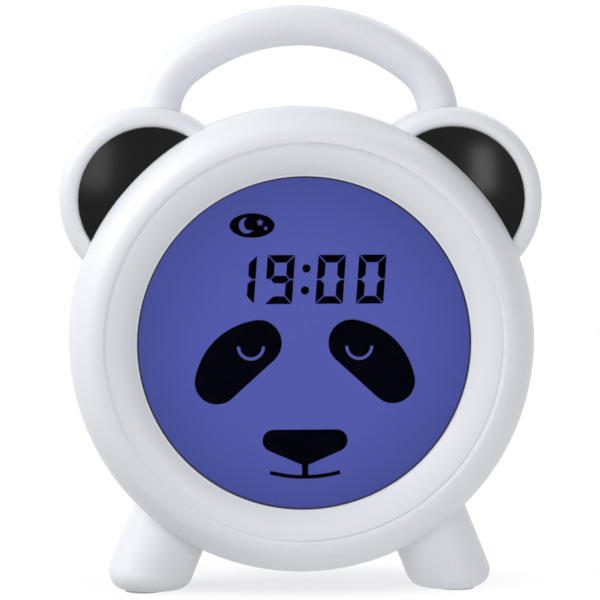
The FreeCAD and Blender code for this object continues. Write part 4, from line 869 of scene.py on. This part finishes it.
def sunOutlines():
    # a disc, and a ray along each eighth of a turn
    rays = []
    for turn in np.arange(8) * np.pi / 4:
        way = np.array([math.cos(turn), math.sin(turn)])
        ray = np.outer(buttonMarks["rayPoints"], way)
        rays.append(strokeOutline(ray, buttonMarks["rayStroke"]))
    return [circleOutline(0, 0, buttonMarks["sunRadius"])] + rays


def signOutlines(sign):
    line = buttonMarks["stroke"]
    if sign == "minus":
        return [strokeOutline(levelLine(), line)]
    if sign == "plus":
        return [strokeOutline(path, line) for path in plusPaths()]
    if sign == "light":
        return sunOutlines()
    if sign == "clock":
        return [strokeOutline(path, line) for path in clockPaths()]
    if sign == "alarm":
        height, radius = buttonMarks["clapper"]
        strokes = [strokeOutline(path, line) for path in bellPaths()]
        return strokes + [circleOutline(0, height, radius, 20)]
    return [crescentOutline(0, 0, buttonMarks["size"], *buttonMarks["moonBite"])]


def onDome(outline):
    # the cap falls with the square of the distance from its middle
    away = np.sum(outline**2, axis=1)
    return -buttonMarks["domeRise"] * away / buttonMarks["domeReach"] ** 2


for sign in buttonSigns:
    low, high = boxOf("button_" + sign)
    middle = (low + high) / 2
    markMesh(
        "sign_" + sign,
        signOutlines(sign),
        placeOn((middle[0], high[1], middle[2]), toFront=False),
        buttonMarks["thickness"],
        paints["markInk"],
        "button_" + sign,
        onDome,
    )
print("button signs drawn")

# Floor, backdrop, lamps and camera.

studio = {
    "ambient": 0.405,
    "ambientTint": (0.92, 0.962, 1.0),
    "floorSize": 6.0,
    "floorColour": (0.35, 0.35, 0.36, 1.0),
    "floorLift": 0.64,  # the floor's own light where the camera sees it near the legs
    "floorBounce": (0.16, 0.40),  # its light on the object, left and right of the bounce's reach
    "bounceReach": (-0.055, -0.005),
    "floorNear": 0.014,  # it fades to plain white between these distances from its middle
    "floorFar": 0.041,
    "floorMiddle": (0.0, 0.012, 0.0),
    "floorStretch": (0.5, 1.0, 1.0),
    "cameraAway": 1.15,
    "cameraAzimuth": -3.8,
    "cameraElevation": 4.8,
    "cameraNear": 0.01,
    "frameWidth": 0.180,
    "aimHeight": 0.0869,
    "aimAcross": 0.0002,
}

lamps = {
    "keyLamp": {"place": (-1.25, -0.19, 1.08), "wide": 1.3, "high": 1.1, "power": 18.0},
    "leftCard": {"place": (-0.52, -1.06, 0.38), "wide": 0.26, "high": 0.45, "power": 1.5},
    "rightCard": {"place": (0.45, -1.10, 0.33), "wide": 0.20, "high": 0.42, "power": 1.9},
    "backCard": {"place": (0.70, 0.85, 1.00), "wide": 0.6, "high": 0.6, "power": 3.2},
}


def seenDirectly(tree, *rayKinds):
    # 1 for the camera's rays and those kinds, 0 for the light that falls on the object
    rays = tree.nodes.new("ShaderNodeLightPath")
    seen = rays.outputs["Is Camera Ray"]
    for kind in rayKinds:
        seen = mathNode(tree, "MAXIMUM", seen, rays.outputs[kind])
    return seen


def buildWorld():
    # soft tinted light on the object, and plain white behind it
    world = bpy.data.worlds.new("studioAir")
    bpy.context.scene.world = world
    world.use_nodes = True
    tree = world.node_tree
    tree.nodes.clear()
    out = tree.nodes.new("ShaderNodeOutputWorld")
    soft = tree.nodes.new("ShaderNodeBackground")
    soft.inputs["Color"].default_value = (*studio["ambientTint"], 1.0)
    soft.inputs["Strength"].default_value = studio["ambient"]
    white = tree.nodes.new("ShaderNodeBackground")
    white.inputs["Color"].default_value = plainWhite
    white.inputs["Strength"].default_value = 1.0
    seen = seenDirectly(tree, "Is Transmission Ray", "Is Glossy Ray")
    blend = mixShaders(tree, seen, soft.outputs[0], white.outputs[0])
    tree.links.new(blend, out.inputs["Surface"])


def buildFloor():
    # seen directly, it is pale near the object, where the shadow shows, and plain white outside
    # an ellipse round the floor's middle; its light on the object grows from left to right
    bpy.ops.mesh.primitive_plane_add(size=studio["floorSize"], location=(0, 0, 0))
    floor = bpy.context.object
    floor.name = "floor"
    material = bpy.data.materials.new("floorWhite")
    material.use_nodes = True
    tree = material.node_tree
    tree.nodes.clear()
    out = tree.nodes.new("ShaderNodeOutputMaterial")
    matt = tree.nodes.new("ShaderNodeBsdfDiffuse")
    matt.inputs["Color"].default_value = studio["floorColour"]
    place = tree.nodes.new("ShaderNodeTexCoord").outputs["Object"]
    parts = tree.nodes.new("ShaderNodeSeparateXYZ")
    tree.links.new(place, parts.inputs["Vector"])
    seen = seenDirectly(tree, "Is Glossy Ray")
    bounce = rampNode(tree, parts.outputs["X"], studio["bounceReach"], studio["floorBounce"])
    lift = tree.nodes.new("ShaderNodeEmission")
    level = mixNode(tree, "FLOAT", seen, bounce, studio["floorLift"])
    tree.links.new(level, lift.inputs["Strength"])
    near = tree.nodes.new("ShaderNodeAddShader")
    tree.links.new(matt.outputs[0], near.inputs[0])
    tree.links.new(lift.outputs[0], near.inputs[1])
    centred = vectorNode(tree, "SUBTRACT", place, studio["floorMiddle"])["Vector"]
    squeezed = vectorNode(tree, "MULTIPLY", centred, studio["floorStretch"])["Vector"]
    away = vectorNode(tree, "LENGTH", squeezed)["Value"]
    ends = (studio["floorNear"], studio["floorFar"])
    fade = rampNode(tree, away, ends, curve="SMOOTHSTEP")
    white = tree.nodes.new("ShaderNodeEmission")
    white.inputs["Color"].default_value = plainWhite
    share = mathNode(tree, "MULTIPLY", seen, fade)
    blend = mixShaders(tree, share, near.outputs[0], white.outputs[0])
    tree.links.new(blend, out.inputs["Surface"])
    floor.data.materials.append(material)


def addLamp(name, place, wide, high, power):
    data = bpy.data.lights.new(name, "AREA")
    data.shape = "RECTANGLE"
    data.size = wide
    data.size_y = high
    data.energy = power
    lamp = bpy.data.objects.new(name, data)
    bpy.context.scene.collection.objects.link(lamp)
    lamp.location = place
    aim = Vector((0, 0, studio["aimHeight"])) - Vector(place)
    lamp.rotation_mode = "QUATERNION"
    lamp.rotation_quaternion = aim.to_track_quat("-Z", "Y")


def buildCamera():
    data = bpy.data.cameras.new("photoCamera")
    camera = bpy.data.objects.new("photoCamera", data)
    bpy.context.scene.collection.objects.link(camera)
    turn = math.radians(studio["cameraAzimuth"])
    rise = math.radians(studio["cameraElevation"])
    back = Vector(
        (
            math.sin(turn) * math.cos(rise),
            -math.cos(turn) * math.cos(rise),
            math.sin(rise),
        )
    )
    target = Vector((studio["aimAcross"], 0, studio["aimHeight"]))
    camera.location = target + back * studio["cameraAway"]
    camera.rotation_mode = "QUATERNION"
    camera.rotation_quaternion = (-back).to_track_quat("-Z", "Y")
    data.lens = data.sensor_width * studio["cameraAway"] / studio["frameWidth"]
    data.clip_start = studio["cameraNear"]
    bpy.context.scene.camera = camera


buildWorld()
buildFloor()
for name, lamp in lamps.items():
    addLamp(name, **lamp)
buildCamera()
bpy.context.scene.view_settings.view_transform = "Standard"
print("studio built")
